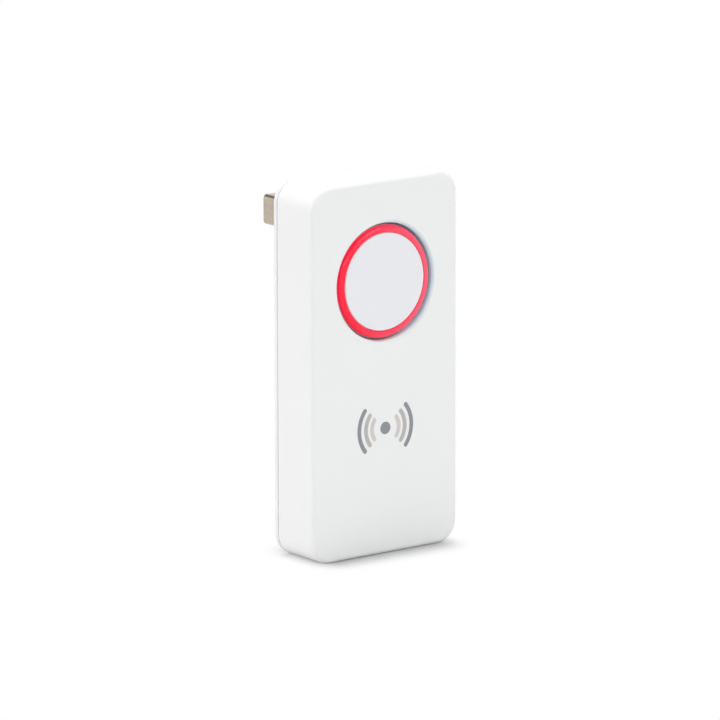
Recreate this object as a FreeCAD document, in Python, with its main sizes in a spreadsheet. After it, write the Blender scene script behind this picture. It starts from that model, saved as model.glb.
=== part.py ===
import FreeCAD, Part
import Sketcher
import math
import os

# Wireless signal repeater: a flat upright box with a push-button in a ring of light in its face. It plugs
# flat into a socket behind it with the rectangular plug at its back, and it also stands on its lower end.
# Millimetres. X runs across the face, Y from the face (-Y) to the plug (+Y), Z up.
# The origin is the middle of the flat base that the housing stands on.

doc = FreeCAD.newDocument("SignalRepeater")

# Driving dimensions

SIZES = [
    ("housing_width", 27.0, "across the face"),
    ("housing_height", 56.2, "base to top"),
    ("shell_depth", 8.4, "face to parting line"),
    ("cover_rim", 0.85, "visible edge of the rear cover"),
    ("face_wall", 2.5, "face of the front shell"),
    ("wall", 1.6, "sides of the front shell"),
    ("corner_radius", 3.4, "corners of the face"),
    ("front_edge_radius", 0.7, "rounding round the face"),
    ("cover_edge_bevel", 0.15, "bevel round the back"),
    ("parting_chamfer", 0.12, "each side of the parting line"),
    ("ring_drop", 15.3, "top of the housing to the centre of the light"),
    ("ring_radius", 8.46, "outside of the light ring"),
    ("ring_width", 1.1, "visible width of the light ring"),
    ("ring_proud", 0.05, "crown of the ring below the face"),
    ("ring_outer_round", 0.8, "outer rounding of the ring"),
    ("ring_inner_bevel", 0.15, "inner bevel of the ring"),
    ("ring_flange", 0.84, "flange behind the wall, past the ring"),
    ("ring_flange_thickness", 0.6, "flange along Y"),
    ("ring_step", 0.35, "inner step behind the wall"),
    ("ring_step_width", 0.59, "inner step across"),
    ("ring_gap", 0.3, "between ring and hole"),
    ("lip_radius", 0.4, "rounding of the hole's lip"),
    ("fit_gap", 0.05, "between parts that seat in each other"),
    ("cap_gap", 0.12, "between button and ring"),
    ("cap_recess", 0.1, "button face below the housing face"),
    ("cap_face", 1.0, "thickness of the button face"),
    ("cap_skirt", 0.84, "thickness of the button skirt"),
    ("cap_flange", 0.5, "flange that keeps the button in"),
    ("cap_flange_thickness", 0.4, "flange along Y"),
    ("cap_stem_radius", 1.3, "stem on the switch"),
    ("cap_edge_bevel", 0.25, "bevel of the button face"),
    ("button_travel", 0.25, "stroke of the switch"),
    ("board_depth", 3.9, "face of the housing to the board"),
    ("board_thickness", 1.0, "main board"),
    ("board_gap", 0.4, "board to housing wall"),
    ("boss_radius", 1.6, "screw bosses"),
    ("boss_inset_x", 3.6, "screws in from the sides"),
    ("boss_inset_z", 4.25, "screws in from the ends"),
    ("screw_radius", 0.7, "screw shank"),
    ("screw_length", 3.0, "screw under its head"),
    ("screw_head_radius", 1.35, "screw head"),
    ("screw_head_height", 0.9, "screw head"),
    ("screw_head_bevel", 0.35, "bevel of the screw head"),
    ("cross_length", 1.6, "cross recess of the screw head"),
    ("cross_width", 0.4, "cross recess of the screw head"),
    ("cross_depth", 0.45, "cross recess of the screw head"),
    ("screw_gap", 0.02, "pilot hole past the shank"),
    ("pilot_extra", 0.35, "pilot hole past the screw's end"),
    ("board_hole_gap", 0.2, "board hole past the shank"),
    ("ring_seat", 0.9, "seat of the ring's flange, into the face from behind"),
    ("rib_thickness", 1.0, "ribs under the board's long edges"),
    ("rib_length", 30.0, "ribs along Z"),
    ("rib_inset", 2.6, "ribs in from the sides"),
    ("tray_wall", 0.65, "outer wall of the light tray"),
    ("tray_inner_radius", 6.9, "bore of the light tray"),
    ("tray_inner_wall", 0.5, "inner wall of the light tray"),
    ("tray_floor", 0.5, "floor of the light tray"),
    ("light_count", 8.0, "lamps round the ring"),
    ("light_length", 1.6, "lamp along the ring"),
    ("light_width", 0.8, "lamp across the ring"),
    ("light_height", 0.45, "lamp above the board"),
    ("light_radius", 8.1, "circle of the lamps"),
    ("light_window_gap", 0.15, "window past the lamp"),
    ("switch_size", 4.5, "square of the switch"),
    ("switch_height", 1.0, "switch body above the board"),
    ("switch_floor", 0.1, "bottom of the switch body"),
    ("switch_bevel", 0.4, "corners of the switch body"),
    ("plunger_radius", 1.0, "plunger of the switch"),
    ("plunger_gap", 0.1, "plunger to switch body"),
    ("plunger_proud", 0.5, "plunger out of the switch body"),
    ("lip_height", 1.2, "lip of the rear cover inside the shell"),
    ("lip_thickness", 0.8, "lip of the rear cover"),
    ("lip_gap", 0.1, "lip to housing wall"),
    ("snap_length", 6.0, "snap bead along Z"),
    ("snap_width", 0.6, "snap bead along Y"),
    ("snap_height", 0.3, "snap bead out of the lip"),
    ("snap_bevel", 0.24, "slopes of the snap bead"),
    ("snap_spacing", 28.0, "between the beads of one side"),
    ("plug_drop", 7.1, "top of the housing to the plug's axis"),
    ("plug_width", 12.0, "plug shell across"),
    ("plug_height", 4.5, "plug shell height"),
    ("plug_reach", 12.4, "plug behind the rear cover"),
    ("plug_sheet", 0.3, "sheet of the plug shell"),
    ("plug_corner", 0.62, "outer corners of the plug shell"),
    ("plug_tip_bevel", 0.12, "bevelled tip of the plug shell"),
    ("plug_opening_gap", 0.1, "plug to rear cover"),
    ("window_width", 2.5, "latch windows across"),
    ("window_length", 2.0, "latch windows along the plug"),
    ("window_spacing", 5.4, "latch windows, centre to centre"),
    ("window_setback", 6.2, "tip to the windows' centre"),
    ("tab_width", 1.6, "solder tabs of the plug shell"),
    ("tongue_gap", 0.05, "insulator to shell"),
    ("tongue_thickness", 1.84, "tongue of the plug"),
    ("tongue_setback", 0.6, "tip of the shell to the tongue"),
    ("tongue_base", 2.6, "insulator block behind the rear cover"),
    ("contact_width", 1.0, "plug contacts"),
    ("contact_thickness", 0.2, "plug contacts"),
    ("contact_inner", 1.0, "inner contacts from the centre"),
    ("contact_outer", 3.5, "outer contacts from the centre"),
    ("contact_setback", 1.1, "tip of the shell to the outer contacts"),
    ("contact_step", 1.0, "inner contacts shorter by"),
    ("tail_width", 0.5, "contact tails"),
    ("groove_gap", 0.02, "contacts to their grooves"),
    ("solder_gap", 0.1, "tails short of the board's front"),
    ("hole_gap", 0.15, "board holes round tabs and tails"),
    ("module_inset", 5.5, "sides of the housing to the radio module"),
    ("module_drop", 4.5, "lower row of parts to the radio module"),
    ("module_thickness", 0.8, "radio module board"),
    ("module_level", 12.0, "base to the radio module"),
    ("notch_width", 0.8, "edge pads of the radio module along Z"),
    ("notch_depth", 0.4, "edge pads of the radio module across"),
    ("notch_pitch", 2.2, "between the edge pads"),
    ("can_inset", 1.5, "module's sides to the shield can"),
    ("can_drop", 1.4, "module's upper edge to the shield can"),
    ("can_depth", 1.7, "shield can along Y"),
    ("can_sheet", 0.2, "sheet of the shield can"),
    ("can_level", 5.6, "module's lower edge to the can"),
    ("can_corner", 0.5, "corners of the shield can"),
    ("vent_length", 4.0, "slots of the shield can"),
    ("vent_width", 0.4, "slots of the shield can"),
    ("vent_pitch", 1.6, "between the slots of the shield can"),
    ("chip_size", 5.0, "radio chip, square"),
    ("chip_height", 0.85, "radio chip"),
    ("crystal_width", 3.2, "quartz crystal"),
    ("crystal_height", 2.5, "quartz crystal along Z"),
    ("crystal_depth", 0.8, "quartz crystal"),
    ("crystal_offset", 4.5, "crystal from the centre line"),
    ("crystal_level", 1.4, "module's lower edge to the crystal"),
    ("antenna_inset", 7.0, "sides of the housing to the antenna"),
    ("antenna_width", 4.4, "antenna along Z"),
    ("antenna_rise", 1.7, "antenna above the board"),
    ("antenna_sheet", 0.25, "sheet of the antenna"),
    ("antenna_level", 4.4, "base to the antenna"),
    ("antenna_slot", 0.9, "slots of the antenna"),
    ("antenna_pitch", 2.5, "between the antenna's slots"),
    ("antenna_bridge", 1.1, "metal left at the end of a slot"),
    ("antenna_leg", 1.4, "legs of the antenna"),
    ("supply_drop", 5.8, "plug's axis to the upper row of power parts"),
    ("logic_drop", 10.7, "plug's axis to the lower row of parts"),
    ("side_inset", 5.7, "sides of the housing to the rows' outer parts"),
    ("edge_inset", 3.6, "sides of the housing to the small parts"),
    ("regulator_width", 6.5, "voltage regulator"),
    ("regulator_height", 3.5, "voltage regulator along Z"),
    ("regulator_depth", 1.6, "voltage regulator along Y"),
    ("regulator_pitch", 2.3, "leads of the regulator"),
    ("memory_width", 4.9, "memory chip"),
    ("memory_height", 3.9, "memory chip along Z"),
    ("memory_depth", 1.5, "memory chip along Y"),
    ("memory_pitch", 1.27, "leads of the memory chip"),
    ("lead_width", 0.6, "leads of the chips"),
    ("lead_thickness", 0.25, "leads of the chips"),
    ("lead_reach", 0.7, "leads past the chips"),
    ("inductor_size", 4.0, "power inductor, square"),
    ("inductor_depth", 1.8, "power inductor along Y"),
    ("inductor_bevel", 0.5, "corners of the power inductor"),
    ("diode_width", 4.4, "surge diode"),
    ("diode_height", 2.6, "surge diode along Z"),
    ("diode_depth", 2.1, "surge diode along Y"),
    ("tantalum_width", 3.5, "storage capacitors"),
    ("tantalum_height", 2.8, "storage capacitors along Z"),
    ("tantalum_depth", 1.9, "storage capacitors along Y"),
    ("bypass_pitch", 2.6, "between the bypass capacitors"),
    ("resistor_pitch", 2.0, "between the resistors"),
    ("small_length", 1.6, "small parts, long side"),
    ("small_width", 0.8, "small parts, short side"),
    ("small_depth", 0.8, "bypass capacitors along Y"),
    ("resistor_depth", 0.5, "resistors along Y"),
]

sheet = doc.addObject("Spreadsheet::Sheet", "Dims")
size = {}
for row, (name, value, note) in enumerate(SIZES, start=1):
    sheet.set("A%d" % row, name)
    sheet.set("B%d" % row, str(value))
    sheet.set("C%d" % row, note)
    sheet.setAlias("B%d" % row, name)
    size[name] = value
doc.recompute()

# Places in depth are measured back from the face of the housing

HALF_DEPTH = "(Dims.shell_depth + Dims.cover_rim) / 2"
REAR = "(Dims.shell_depth + Dims.cover_rim)"
BOARD_BACK = "(Dims.board_depth + Dims.board_thickness)"
MIDDLE = "Dims.housing_height / 2"
RING_LEVEL = "(Dims.housing_height - Dims.ring_drop)"
PLUG_LEVEL = "(Dims.housing_height - Dims.plug_drop)"

half_depth = (size["shell_depth"] + size["cover_rim"]) / 2


def at_depth(depth):
    """Y of a point this far behind the face."""
    return "%s - %s" % (depth, HALF_DEPTH)


def face_offset(depth):
    """Offset of a sketch on the XZ plane, whose normal is -Y, that puts it this far behind the face."""
    return "%s - (%s)" % (HALF_DEPTH, depth)


# Bodies, sketches and features

def new_body(name):
    body = doc.addObject("PartDesign::Body", name)
    body.Label = name
    body.AllowCompound = True
    return body


def new_sketch(body, name, role, x="0", y="0", z="0"):
    sketch = body.newObject("Sketcher::SketchObject", name)
    plane = [item for item in body.Origin.OriginFeatures if item.Role == role][0]
    sketch.AttachmentSupport = (plane, [""])
    sketch.MapMode = "FlatFace"
    for axis, expression in zip("xyz", (x, y, z)):
        sketch.setExpression("AttachmentOffset.Base." + axis, expression)
    return sketch


def bind(sketch, kind, ends, expression, start=1.0):
    index = sketch.addConstraint(Sketcher.Constraint(kind, *ends, start))
    sketch.setExpression("Constraints[%d]" % index, expression)


def add_outline(sketch, points):
    """Closed outline through points, each given as two expressions measured from the sketch's origin."""
    first = sketch.GeometryCount
    count = len(points)
    for i in range(count):
        turn = 2 * math.pi * i / count
        turn_next = 2 * math.pi * (i + 1) / count
        start = FreeCAD.Vector(math.cos(turn), math.sin(turn), 0)
        end = FreeCAD.Vector(math.cos(turn_next), math.sin(turn_next), 0)
        sketch.addGeometry(Part.LineSegment(start, end))
    for i in range(count):
        after = first + (i + 1) % count
        sketch.addConstraint(Sketcher.Constraint("Coincident", first + i, 2, after, 1))
    for i, (across, up) in enumerate(points):
        bind(sketch, "DistanceX", (-1, 1, first + i, 1), across)
        bind(sketch, "DistanceY", (-1, 1, first + i, 1), up)


def add_rectangle(sketch, width, height, x="0", y="0"):
    left = "%s - (%s) / 2" % (x, width)
    right = "%s + (%s) / 2" % (x, width)
    low = "%s - (%s) / 2" % (y, height)
    high = "%s + (%s) / 2" % (y, height)
    add_outline(sketch, [(left, low), (right, low), (right, high), (left, high)])


def add_circle(sketch, radius, x="0", y="0"):
    index = sketch.addGeometry(Part.Circle(FreeCAD.Vector(1, 1, 0), FreeCAD.Vector(0, 0, 1), 1))
    bind(sketch, "DistanceX", (-1, 1, index, 3), x)
    bind(sketch, "DistanceY", (-1, 1, index, 3), y)
    bind(sketch, "Radius", (index,), radius)


def extrude(body, kind, name, sketch, length, reverse=False, midplane=False):
    feature = body.newObject("PartDesign::" + kind, name)
    feature.Profile = sketch
    feature.setExpression("Length", length)
    feature.Reversed = reverse
    if midplane:
        feature.SideType = "Symmetric"
    sketch.Visibility = False
    doc.recompute()
    return feature


def pad(body, name, sketch, length, reverse=False, midplane=False):
    return extrude(body, "Pad", name, sketch, length, reverse, midplane)


def pocket(body, name, sketch, length, reverse=False, midplane=False):
    """A pocket that takes no material away is an error."""
    before = body.Shape.Volume
    feature = extrude(body, "Pocket", name, sketch, length, reverse, midplane)
    if before - body.Shape.Volume < 1e-6:
        raise RuntimeError(name + " cuts nothing")
    return feature


def revolve(body, name, sketch, kind="Revolution"):
    feature = body.newObject("PartDesign::" + kind, name)
    feature.Profile = sketch
    feature.ReferenceAxis = (sketch, ["H_Axis"])
    feature.Angle = 360
    sketch.Visibility = False
    doc.recompute()
    return feature


def polar(body, name, feature, sketch, count):
    pattern = body.newObject("PartDesign::PolarPattern", name)
    pattern.Originals = [feature]
    pattern.Axis = (sketch, ["N_Axis"])
    pattern.Angle = 360
    pattern.setExpression("Occurrences", count)
    body.Tip = pattern
    doc.recompute()
    return pattern


def mirrored(body, name, features, role):
    mirror = body.newObject("PartDesign::Mirrored", name)
    mirror.Originals = features
    mirror.MirrorPlane = ([item for item in body.Origin.OriginFeatures if item.Role == role][0], [""])
    body.Tip = mirror
    doc.recompute()
    return mirror


def round_edges(body, name, radius, test, kind="Fillet"):
    """Fillet or chamfer on the edges of the body so far that pass the test."""
    base = body.Tip
    names = ["Edge%d" % (i + 1) for i, edge in enumerate(base.Shape.Edges) if test(edge)]
    if not names:
        raise RuntimeError(name + " finds no edge")
    feature = body.newObject("PartDesign::" + kind, name)
    feature.Base = (base, names)
    feature.setExpression("Radius" if kind == "Fillet" else "Size", radius)
    doc.recompute()
    return feature


def shelled(body, name, thickness, test):
    """Hollows the body inwards and leaves the faces that pass the test open."""
    base = body.Tip
    names = ["Face%d" % (i + 1) for i, face in enumerate(base.Shape.Faces) if test(face)]
    feature = body.newObject("PartDesign::Thickness", name)
    feature.Base = (base, names)
    feature.setExpression("Value", thickness)
    feature.Reversed = True
    feature.Join = "Arc"
    doc.recompute()
    return feature


def close(value, target):
    return abs(value - target) < 1e-4


def straight_along(edge, axis):
    if edge.Curve.TypeId != "Part::GeomLine":
        return False
    return abs(edge.Curve.Direction.dot(FreeCAD.Vector(*axis))) > 0.999


def lies_at_y(item, depth):
    box = item.BoundBox
    y = depth - half_depth
    return close(box.YMin, y) and close(box.YMax, y)


def on_outline(edge):
    """True for an edge that runs round the outside of the housing."""
    box = edge.BoundBox
    side = size["housing_width"] / 2 - size["corner_radius"] - 1e-4
    low = size["corner_radius"] + 1e-4
    high = size["housing_height"] - size["corner_radius"] - 1e-4
    reach_x = max(abs(box.XMin), abs(box.XMax))
    near_side = reach_x > side and close(reach_x, size["housing_width"] / 2)
    near_base = box.ZMin < low and close(box.ZMin, 0)
    near_top = box.ZMax > high and close(box.ZMax, size["housing_height"])
    return near_side or near_base or near_top


def is_circle(edge, radius):
    return edge.Curve.TypeId == "Part::GeomCircle" and close(edge.Curve.Radius, radius)


# The two screws stand in opposite corners, measured from the middle of the face
SCREW_ACROSS = "(Dims.housing_width / 2 - Dims.boss_inset_x)"
SCREW_UP = "(Dims.housing_height / 2 - Dims.boss_inset_z)"
SCREW_PLACES = [("-" + SCREW_ACROSS, SCREW_UP), (SCREW_ACROSS, "-" + SCREW_UP)]


def screw_circles(sketch, radius):
    for across, up in SCREW_PLACES:
        add_circle(sketch, radius, across, up)


# Turned profiles have depth behind the face across and radius up, round the axis of the light.
# A quarter round in them is two equal bevels that meet on the round.
ROUND_SHARE = 1 - math.sqrt(0.5)


def turned(body, name, points, kind="Revolution"):
    sketch = new_sketch(body, name + "Profile", "YZ_Plane", x="-" + HALF_DEPTH, y=RING_LEVEL)
    add_outline(sketch, points)
    return revolve(body, name, sketch, kind)


# Front shell: moulded cup with the round opening, screw bosses and snap recesses

front = new_body("front_housing")
outline = new_sketch(front, "FrontOutline", "XZ_Plane", y=MIDDLE, z=face_offset("Dims.shell_depth"))
add_rectangle(outline, "Dims.housing_width", "Dims.housing_height")
pad(front, "FrontBlock", outline, "Dims.shell_depth")
round_edges(front, "FrontCorners", "Dims.corner_radius", lambda e: straight_along(e, (0, 1, 0)))
cavity = new_sketch(front, "FrontCavity", "XZ_Plane", y=MIDDLE, z=face_offset("Dims.shell_depth"))
add_rectangle(cavity, "Dims.housing_width - 2 * Dims.wall", "Dims.housing_height - 2 * Dims.wall")
pocket(front, "FrontHollow", cavity, "Dims.shell_depth - Dims.face_wall", reverse=True)
cavity_top = size["face_wall"] - half_depth
round_edges(front, "CavityCorners", "Dims.corner_radius - Dims.wall",
            lambda e: straight_along(e, (0, 1, 0)) and close(e.BoundBox.YMin, cavity_top))
round_edges(front, "FrontEdge", "Dims.front_edge_radius", lambda e: lies_at_y(e, 0))
round_edges(front, "FrontParting", "Dims.parting_chamfer",
            lambda e: lies_at_y(e, size["shell_depth"]) and on_outline(e), "Chamfer")

bosses = new_sketch(front, "BossCircles", "XZ_Plane", y=MIDDLE, z=face_offset("Dims.board_depth"))
screw_circles(bosses, "Dims.boss_radius")
pad(front, "Bosses", bosses, "Dims.board_depth - Dims.face_wall / 2")

pilots = new_sketch(front, "PilotCircles", "XZ_Plane", y=MIDDLE, z=face_offset("Dims.board_depth"))
screw_circles(pilots, "Dims.screw_radius + Dims.screw_gap")
pocket(front, "PilotHoles", pilots, "Dims.screw_length - Dims.board_thickness + Dims.pilot_extra",
       reverse=True)

ribs = new_sketch(front, "RibOutlines", "XZ_Plane", y=MIDDLE, z=face_offset("Dims.board_depth"))
for side in ("", "-"):
    add_rectangle(ribs, "Dims.rib_thickness", "Dims.rib_length",
                  x=side + "(Dims.housing_width / 2 - Dims.rib_inset)",
                  y="Dims.rib_length / 2 - Dims.housing_height / 2 + Dims.module_level")
pad(front, "Ribs", ribs, "Dims.board_depth - Dims.face_wall / 2")

# The hole has a rounded lip in front and the seat of the ring's flange behind
HOLE_RADIUS = "(Dims.ring_radius + Dims.ring_gap)"
SEAT_RADIUS = "(Dims.ring_radius + Dims.ring_flange + Dims.fit_gap)"
FLANGE_FRONT = "(Dims.face_wall - Dims.ring_seat)"
turned(front, "RingHole", [
    ("-Dims.lip_radius", "0"),
    ("-Dims.lip_radius", HOLE_RADIUS + " + Dims.lip_radius"),
    ("0", HOLE_RADIUS + " + Dims.lip_radius"),
    ("Dims.lip_radius * %s" % ROUND_SHARE, HOLE_RADIUS + " + Dims.lip_radius * %s" % ROUND_SHARE),
    ("Dims.lip_radius", HOLE_RADIUS),
    (FLANGE_FRONT, HOLE_RADIUS),
    (FLANGE_FRONT, SEAT_RADIUS),
    ("Dims.face_wall + Dims.ring_flange_thickness", SEAT_RADIUS),
    ("Dims.face_wall + Dims.ring_flange_thickness", "0"),
], "Groove")

# The recesses are cut through both side walls at once, from a sketch on the middle plane
SNAP_DEPTH = "Dims.shell_depth - Dims.lip_height / 2"
recess = new_sketch(front, "SnapRecessOutline", "YZ_Plane", x=at_depth(SNAP_DEPTH), y=MIDDLE)
for end in ("", "-"):
    add_rectangle(recess, "Dims.snap_width + 2 * Dims.fit_gap", "Dims.snap_length + 2 * Dims.fit_gap",
                  y=end + "Dims.snap_spacing / 2")
pocket(front, "SnapRecesses", recess,
       "Dims.housing_width - 2 * Dims.wall - 2 * Dims.lip_gap + 2 * Dims.snap_height + 2 * Dims.fit_gap",
       midplane=True)

# Rear cover: plate with a lip that snaps into the shell, and the opening for the plug

cover = new_body("rear_cover")
outline = new_sketch(cover, "CoverOutline", "XZ_Plane", y=MIDDLE, z=face_offset(REAR))
add_rectangle(outline, "Dims.housing_width", "Dims.housing_height")
pad(cover, "CoverPlate", outline, "Dims.cover_rim")
round_edges(cover, "CoverCorners", "Dims.corner_radius", lambda e: straight_along(e, (0, 1, 0)))
round_edges(cover, "CoverEdge", "Dims.cover_edge_bevel",
            lambda e: lies_at_y(e, size["shell_depth"] + size["cover_rim"]), "Chamfer")
round_edges(cover, "CoverParting", "Dims.parting_chamfer",
            lambda e: lies_at_y(e, size["shell_depth"]), "Chamfer")

LIP_WIDTH = "(Dims.housing_width - 2 * Dims.wall - 2 * Dims.lip_gap)"
LIP_HEIGHT = "(Dims.housing_height - 2 * Dims.wall - 2 * Dims.lip_gap)"
lip = new_sketch(cover, "LipOutline", "XZ_Plane", y=MIDDLE, z=face_offset("Dims.shell_depth"))
add_rectangle(lip, LIP_WIDTH, LIP_HEIGHT)
pad(cover, "LipBlock", lip, "Dims.lip_height")
lip_low = size["shell_depth"] - size["lip_height"] - half_depth
lip_high = size["shell_depth"] - half_depth


def spans_lip(edge):
    box = edge.BoundBox
    return straight_along(edge, (0, 1, 0)) and close(box.YMin, lip_low) and close(box.YMax, lip_high)


round_edges(cover, "LipCorners", "Dims.corner_radius - Dims.wall - Dims.lip_gap", spans_lip)
inside = new_sketch(cover, "LipInside", "XZ_Plane", y=MIDDLE,
                    z=face_offset("Dims.shell_depth - Dims.lip_height"))
add_rectangle(inside, LIP_WIDTH + " - 2 * Dims.lip_thickness", LIP_HEIGHT + " - 2 * Dims.lip_thickness")
pocket(cover, "LipHollow", inside, "Dims.lip_height")
lip_inside = size["housing_width"] / 2 - size["wall"] - size["lip_gap"] - size["lip_thickness"] / 2
round_edges(cover, "LipInsideCorners", "Dims.corner_radius - Dims.wall - Dims.lip_gap - Dims.lip_thickness",
            lambda e: spans_lip(e) and max(abs(e.BoundBox.XMin), abs(e.BoundBox.XMax)) < lip_inside)

bead = new_sketch(cover, "SnapBeadOutline", "YZ_Plane", x=at_depth(SNAP_DEPTH), y=MIDDLE,
                  z=LIP_WIDTH + " / 2 - Dims.lip_thickness / 2")
for end in ("", "-"):
    add_rectangle(bead, "Dims.snap_width", "Dims.snap_length", y=end + "Dims.snap_spacing / 2")
beads = pad(cover, "SnapBeads", bead, "Dims.snap_height + Dims.lip_thickness / 2")
mirrored(cover, "SnapBeadsBothSides", [beads], "YZ_Plane")
bead_side = (size["housing_width"] / 2 - size["wall"] - size["lip_gap"]) + size["snap_height"]
round_edges(cover, "SnapBeadSlopes", "Dims.snap_bevel",
            lambda e: straight_along(e, (0, 0, 1)) and close(abs(e.BoundBox.XMin), bead_side), "Chamfer")

opening = new_sketch(cover, "PlugOpeningOutline", "XZ_Plane", y=PLUG_LEVEL,
                     z=face_offset("Dims.shell_depth"))
add_rectangle(opening, "Dims.plug_width + 2 * Dims.plug_opening_gap",
              "Dims.plug_height + 2 * Dims.plug_opening_gap")
pocket(cover, "PlugOpening", opening, "Dims.cover_rim")
opening_side = size["plug_width"] / 2 + size["plug_opening_gap"]
round_edges(cover, "PlugOpeningCorners", "Dims.plug_corner + Dims.plug_opening_gap",
            lambda e: straight_along(e, (0, 1, 0)) and close(abs(e.BoundBox.XMin), opening_side)
            and close(e.BoundBox.YMax, half_depth))

# Light ring: turned profile with a rounded crown, a flange behind the wall and a step that keeps
# the button in

RING_INNER = "(Dims.ring_radius - Dims.ring_width)"
FLANGE_BACK = "(" + FLANGE_FRONT + " + Dims.ring_flange_thickness)"
STEP_BACK = "(" + FLANGE_FRONT + " + Dims.ring_step)"
ring = new_body("light_ring")
turned(ring, "RingTurned", [
    ("Dims.ring_proud + Dims.ring_inner_bevel", RING_INNER),
    ("Dims.ring_proud", RING_INNER + " + Dims.ring_inner_bevel"),
    ("Dims.ring_proud", "Dims.ring_radius - Dims.ring_outer_round"),
    ("Dims.ring_proud + Dims.ring_outer_round * %s" % ROUND_SHARE,
     "Dims.ring_radius - Dims.ring_outer_round * %s" % ROUND_SHARE),
    ("Dims.ring_proud + Dims.ring_outer_round", "Dims.ring_radius"),
    (FLANGE_FRONT, "Dims.ring_radius"),
    (FLANGE_FRONT, "Dims.ring_radius + Dims.ring_flange"),
    (FLANGE_BACK, "Dims.ring_radius + Dims.ring_flange"),
    (FLANGE_BACK, RING_INNER + " + Dims.ring_step_width"),
    (STEP_BACK, RING_INNER + " + Dims.ring_step_width"),
    (STEP_BACK, RING_INNER),
])

# Button: cup with a flange that the ring's step keeps in, and a stem on the switch

CAP_RADIUS = "(Dims.ring_radius - Dims.ring_width - Dims.cap_gap)"
CAP_BACK = "(Dims.cap_recess + Dims.cap_face)"
CAP_FLANGE = "(" + STEP_BACK + " + Dims.fit_gap)"
PLUNGER_TIP = "(Dims.board_depth - Dims.switch_height - Dims.plunger_proud)"
cap = new_body("button_cap")
turned(cap, "CapTurned", [
    ("Dims.cap_recess", "0"),
    ("Dims.cap_recess", CAP_RADIUS + " - Dims.cap_edge_bevel"),
    ("Dims.cap_recess + Dims.cap_edge_bevel", CAP_RADIUS),
    (CAP_FLANGE, CAP_RADIUS),
    (CAP_FLANGE, CAP_RADIUS + " + Dims.cap_flange"),
    (CAP_FLANGE + " + Dims.cap_flange_thickness", CAP_RADIUS + " + Dims.cap_flange"),
    (CAP_FLANGE + " + Dims.cap_flange_thickness", CAP_RADIUS + " - Dims.cap_skirt"),
    (CAP_BACK, CAP_RADIUS + " - Dims.cap_skirt"),
    (CAP_BACK, "Dims.cap_stem_radius"),
    (PLUNGER_TIP, "Dims.cap_stem_radius"),
    (PLUNGER_TIP, "0"),
])

# Light tray: white channel under the ring, with a window round each lamp

TRAY_OUTER = "(Dims.ring_radius + Dims.ring_flange)"
tray = new_body("light_tray")
turned(tray, "TrayTurned", [
    ("Dims.board_depth", "Dims.tray_inner_radius"),
    ("Dims.board_depth", TRAY_OUTER),
    (FLANGE_BACK, TRAY_OUTER),
    (FLANGE_BACK, TRAY_OUTER + " - Dims.tray_wall"),
    ("Dims.board_depth - Dims.tray_floor", TRAY_OUTER + " - Dims.tray_wall"),
    ("Dims.board_depth - Dims.tray_floor", "Dims.tray_inner_radius + Dims.tray_inner_wall"),
    (CAP_FLANGE + " + Dims.cap_flange_thickness + 2 * Dims.button_travel",
     "Dims.tray_inner_radius + Dims.tray_inner_wall"),
    (CAP_FLANGE + " + Dims.cap_flange_thickness + 2 * Dims.button_travel", "Dims.tray_inner_radius"),
])
window = new_sketch(tray, "LampWindowOutline", "XZ_Plane", y=RING_LEVEL, z=face_offset("Dims.board_depth"))
add_rectangle(window, "Dims.light_length + 2 * Dims.light_window_gap",
              "Dims.light_width + 2 * Dims.light_window_gap", y="Dims.light_radius")
cut = pocket(tray, "LampWindow", window, "Dims.tray_floor + Dims.fit_gap", reverse=True)
polar(tray, "LampWindows", cut, window, "Dims.light_count")

# Lamps: a ring of small lights on the board

lamps = new_body("ring_lamps")
lamp = new_sketch(lamps, "LampOutline", "XZ_Plane", y=RING_LEVEL, z=face_offset("Dims.board_depth"))
add_rectangle(lamp, "Dims.light_length", "Dims.light_width", y="Dims.light_radius")
block = pad(lamps, "LampBlock", lamp, "Dims.light_height")
polar(lamps, "Lamps", block, lamp, "Dims.light_count")

# Push switch under the button

switch = new_body("switch_body")
square = new_sketch(switch, "SwitchSquare", "XZ_Plane", y=RING_LEVEL, z=face_offset("Dims.board_depth"))
add_rectangle(square, "Dims.switch_size", "Dims.switch_size")
pad(switch, "SwitchBlock", square, "Dims.switch_height")
bore = new_sketch(switch, "SwitchBoreCircle", "XZ_Plane", y=RING_LEVEL,
                  z=face_offset("Dims.board_depth - Dims.switch_height"))
add_circle(bore, "Dims.plunger_radius + Dims.plunger_gap")
pocket(switch, "SwitchBore", bore, "Dims.switch_height - Dims.switch_floor")
round_edges(switch, "SwitchCorners", "Dims.switch_bevel",
            lambda e: straight_along(e, (0, 1, 0)), "Chamfer")

plunger = new_body("switch_plunger")
turned(plunger, "PlungerTurned", [
    (PLUNGER_TIP, "0"),
    (PLUNGER_TIP, "Dims.plunger_radius"),
    ("Dims.board_depth - Dims.switch_floor - Dims.button_travel - Dims.plunger_gap", "Dims.plunger_radius"),
    ("Dims.board_depth - Dims.switch_floor - Dims.button_travel - Dims.plunger_gap", "0"),
])

# Main board, with holes for the screws, the plug's tabs and its tails

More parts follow.
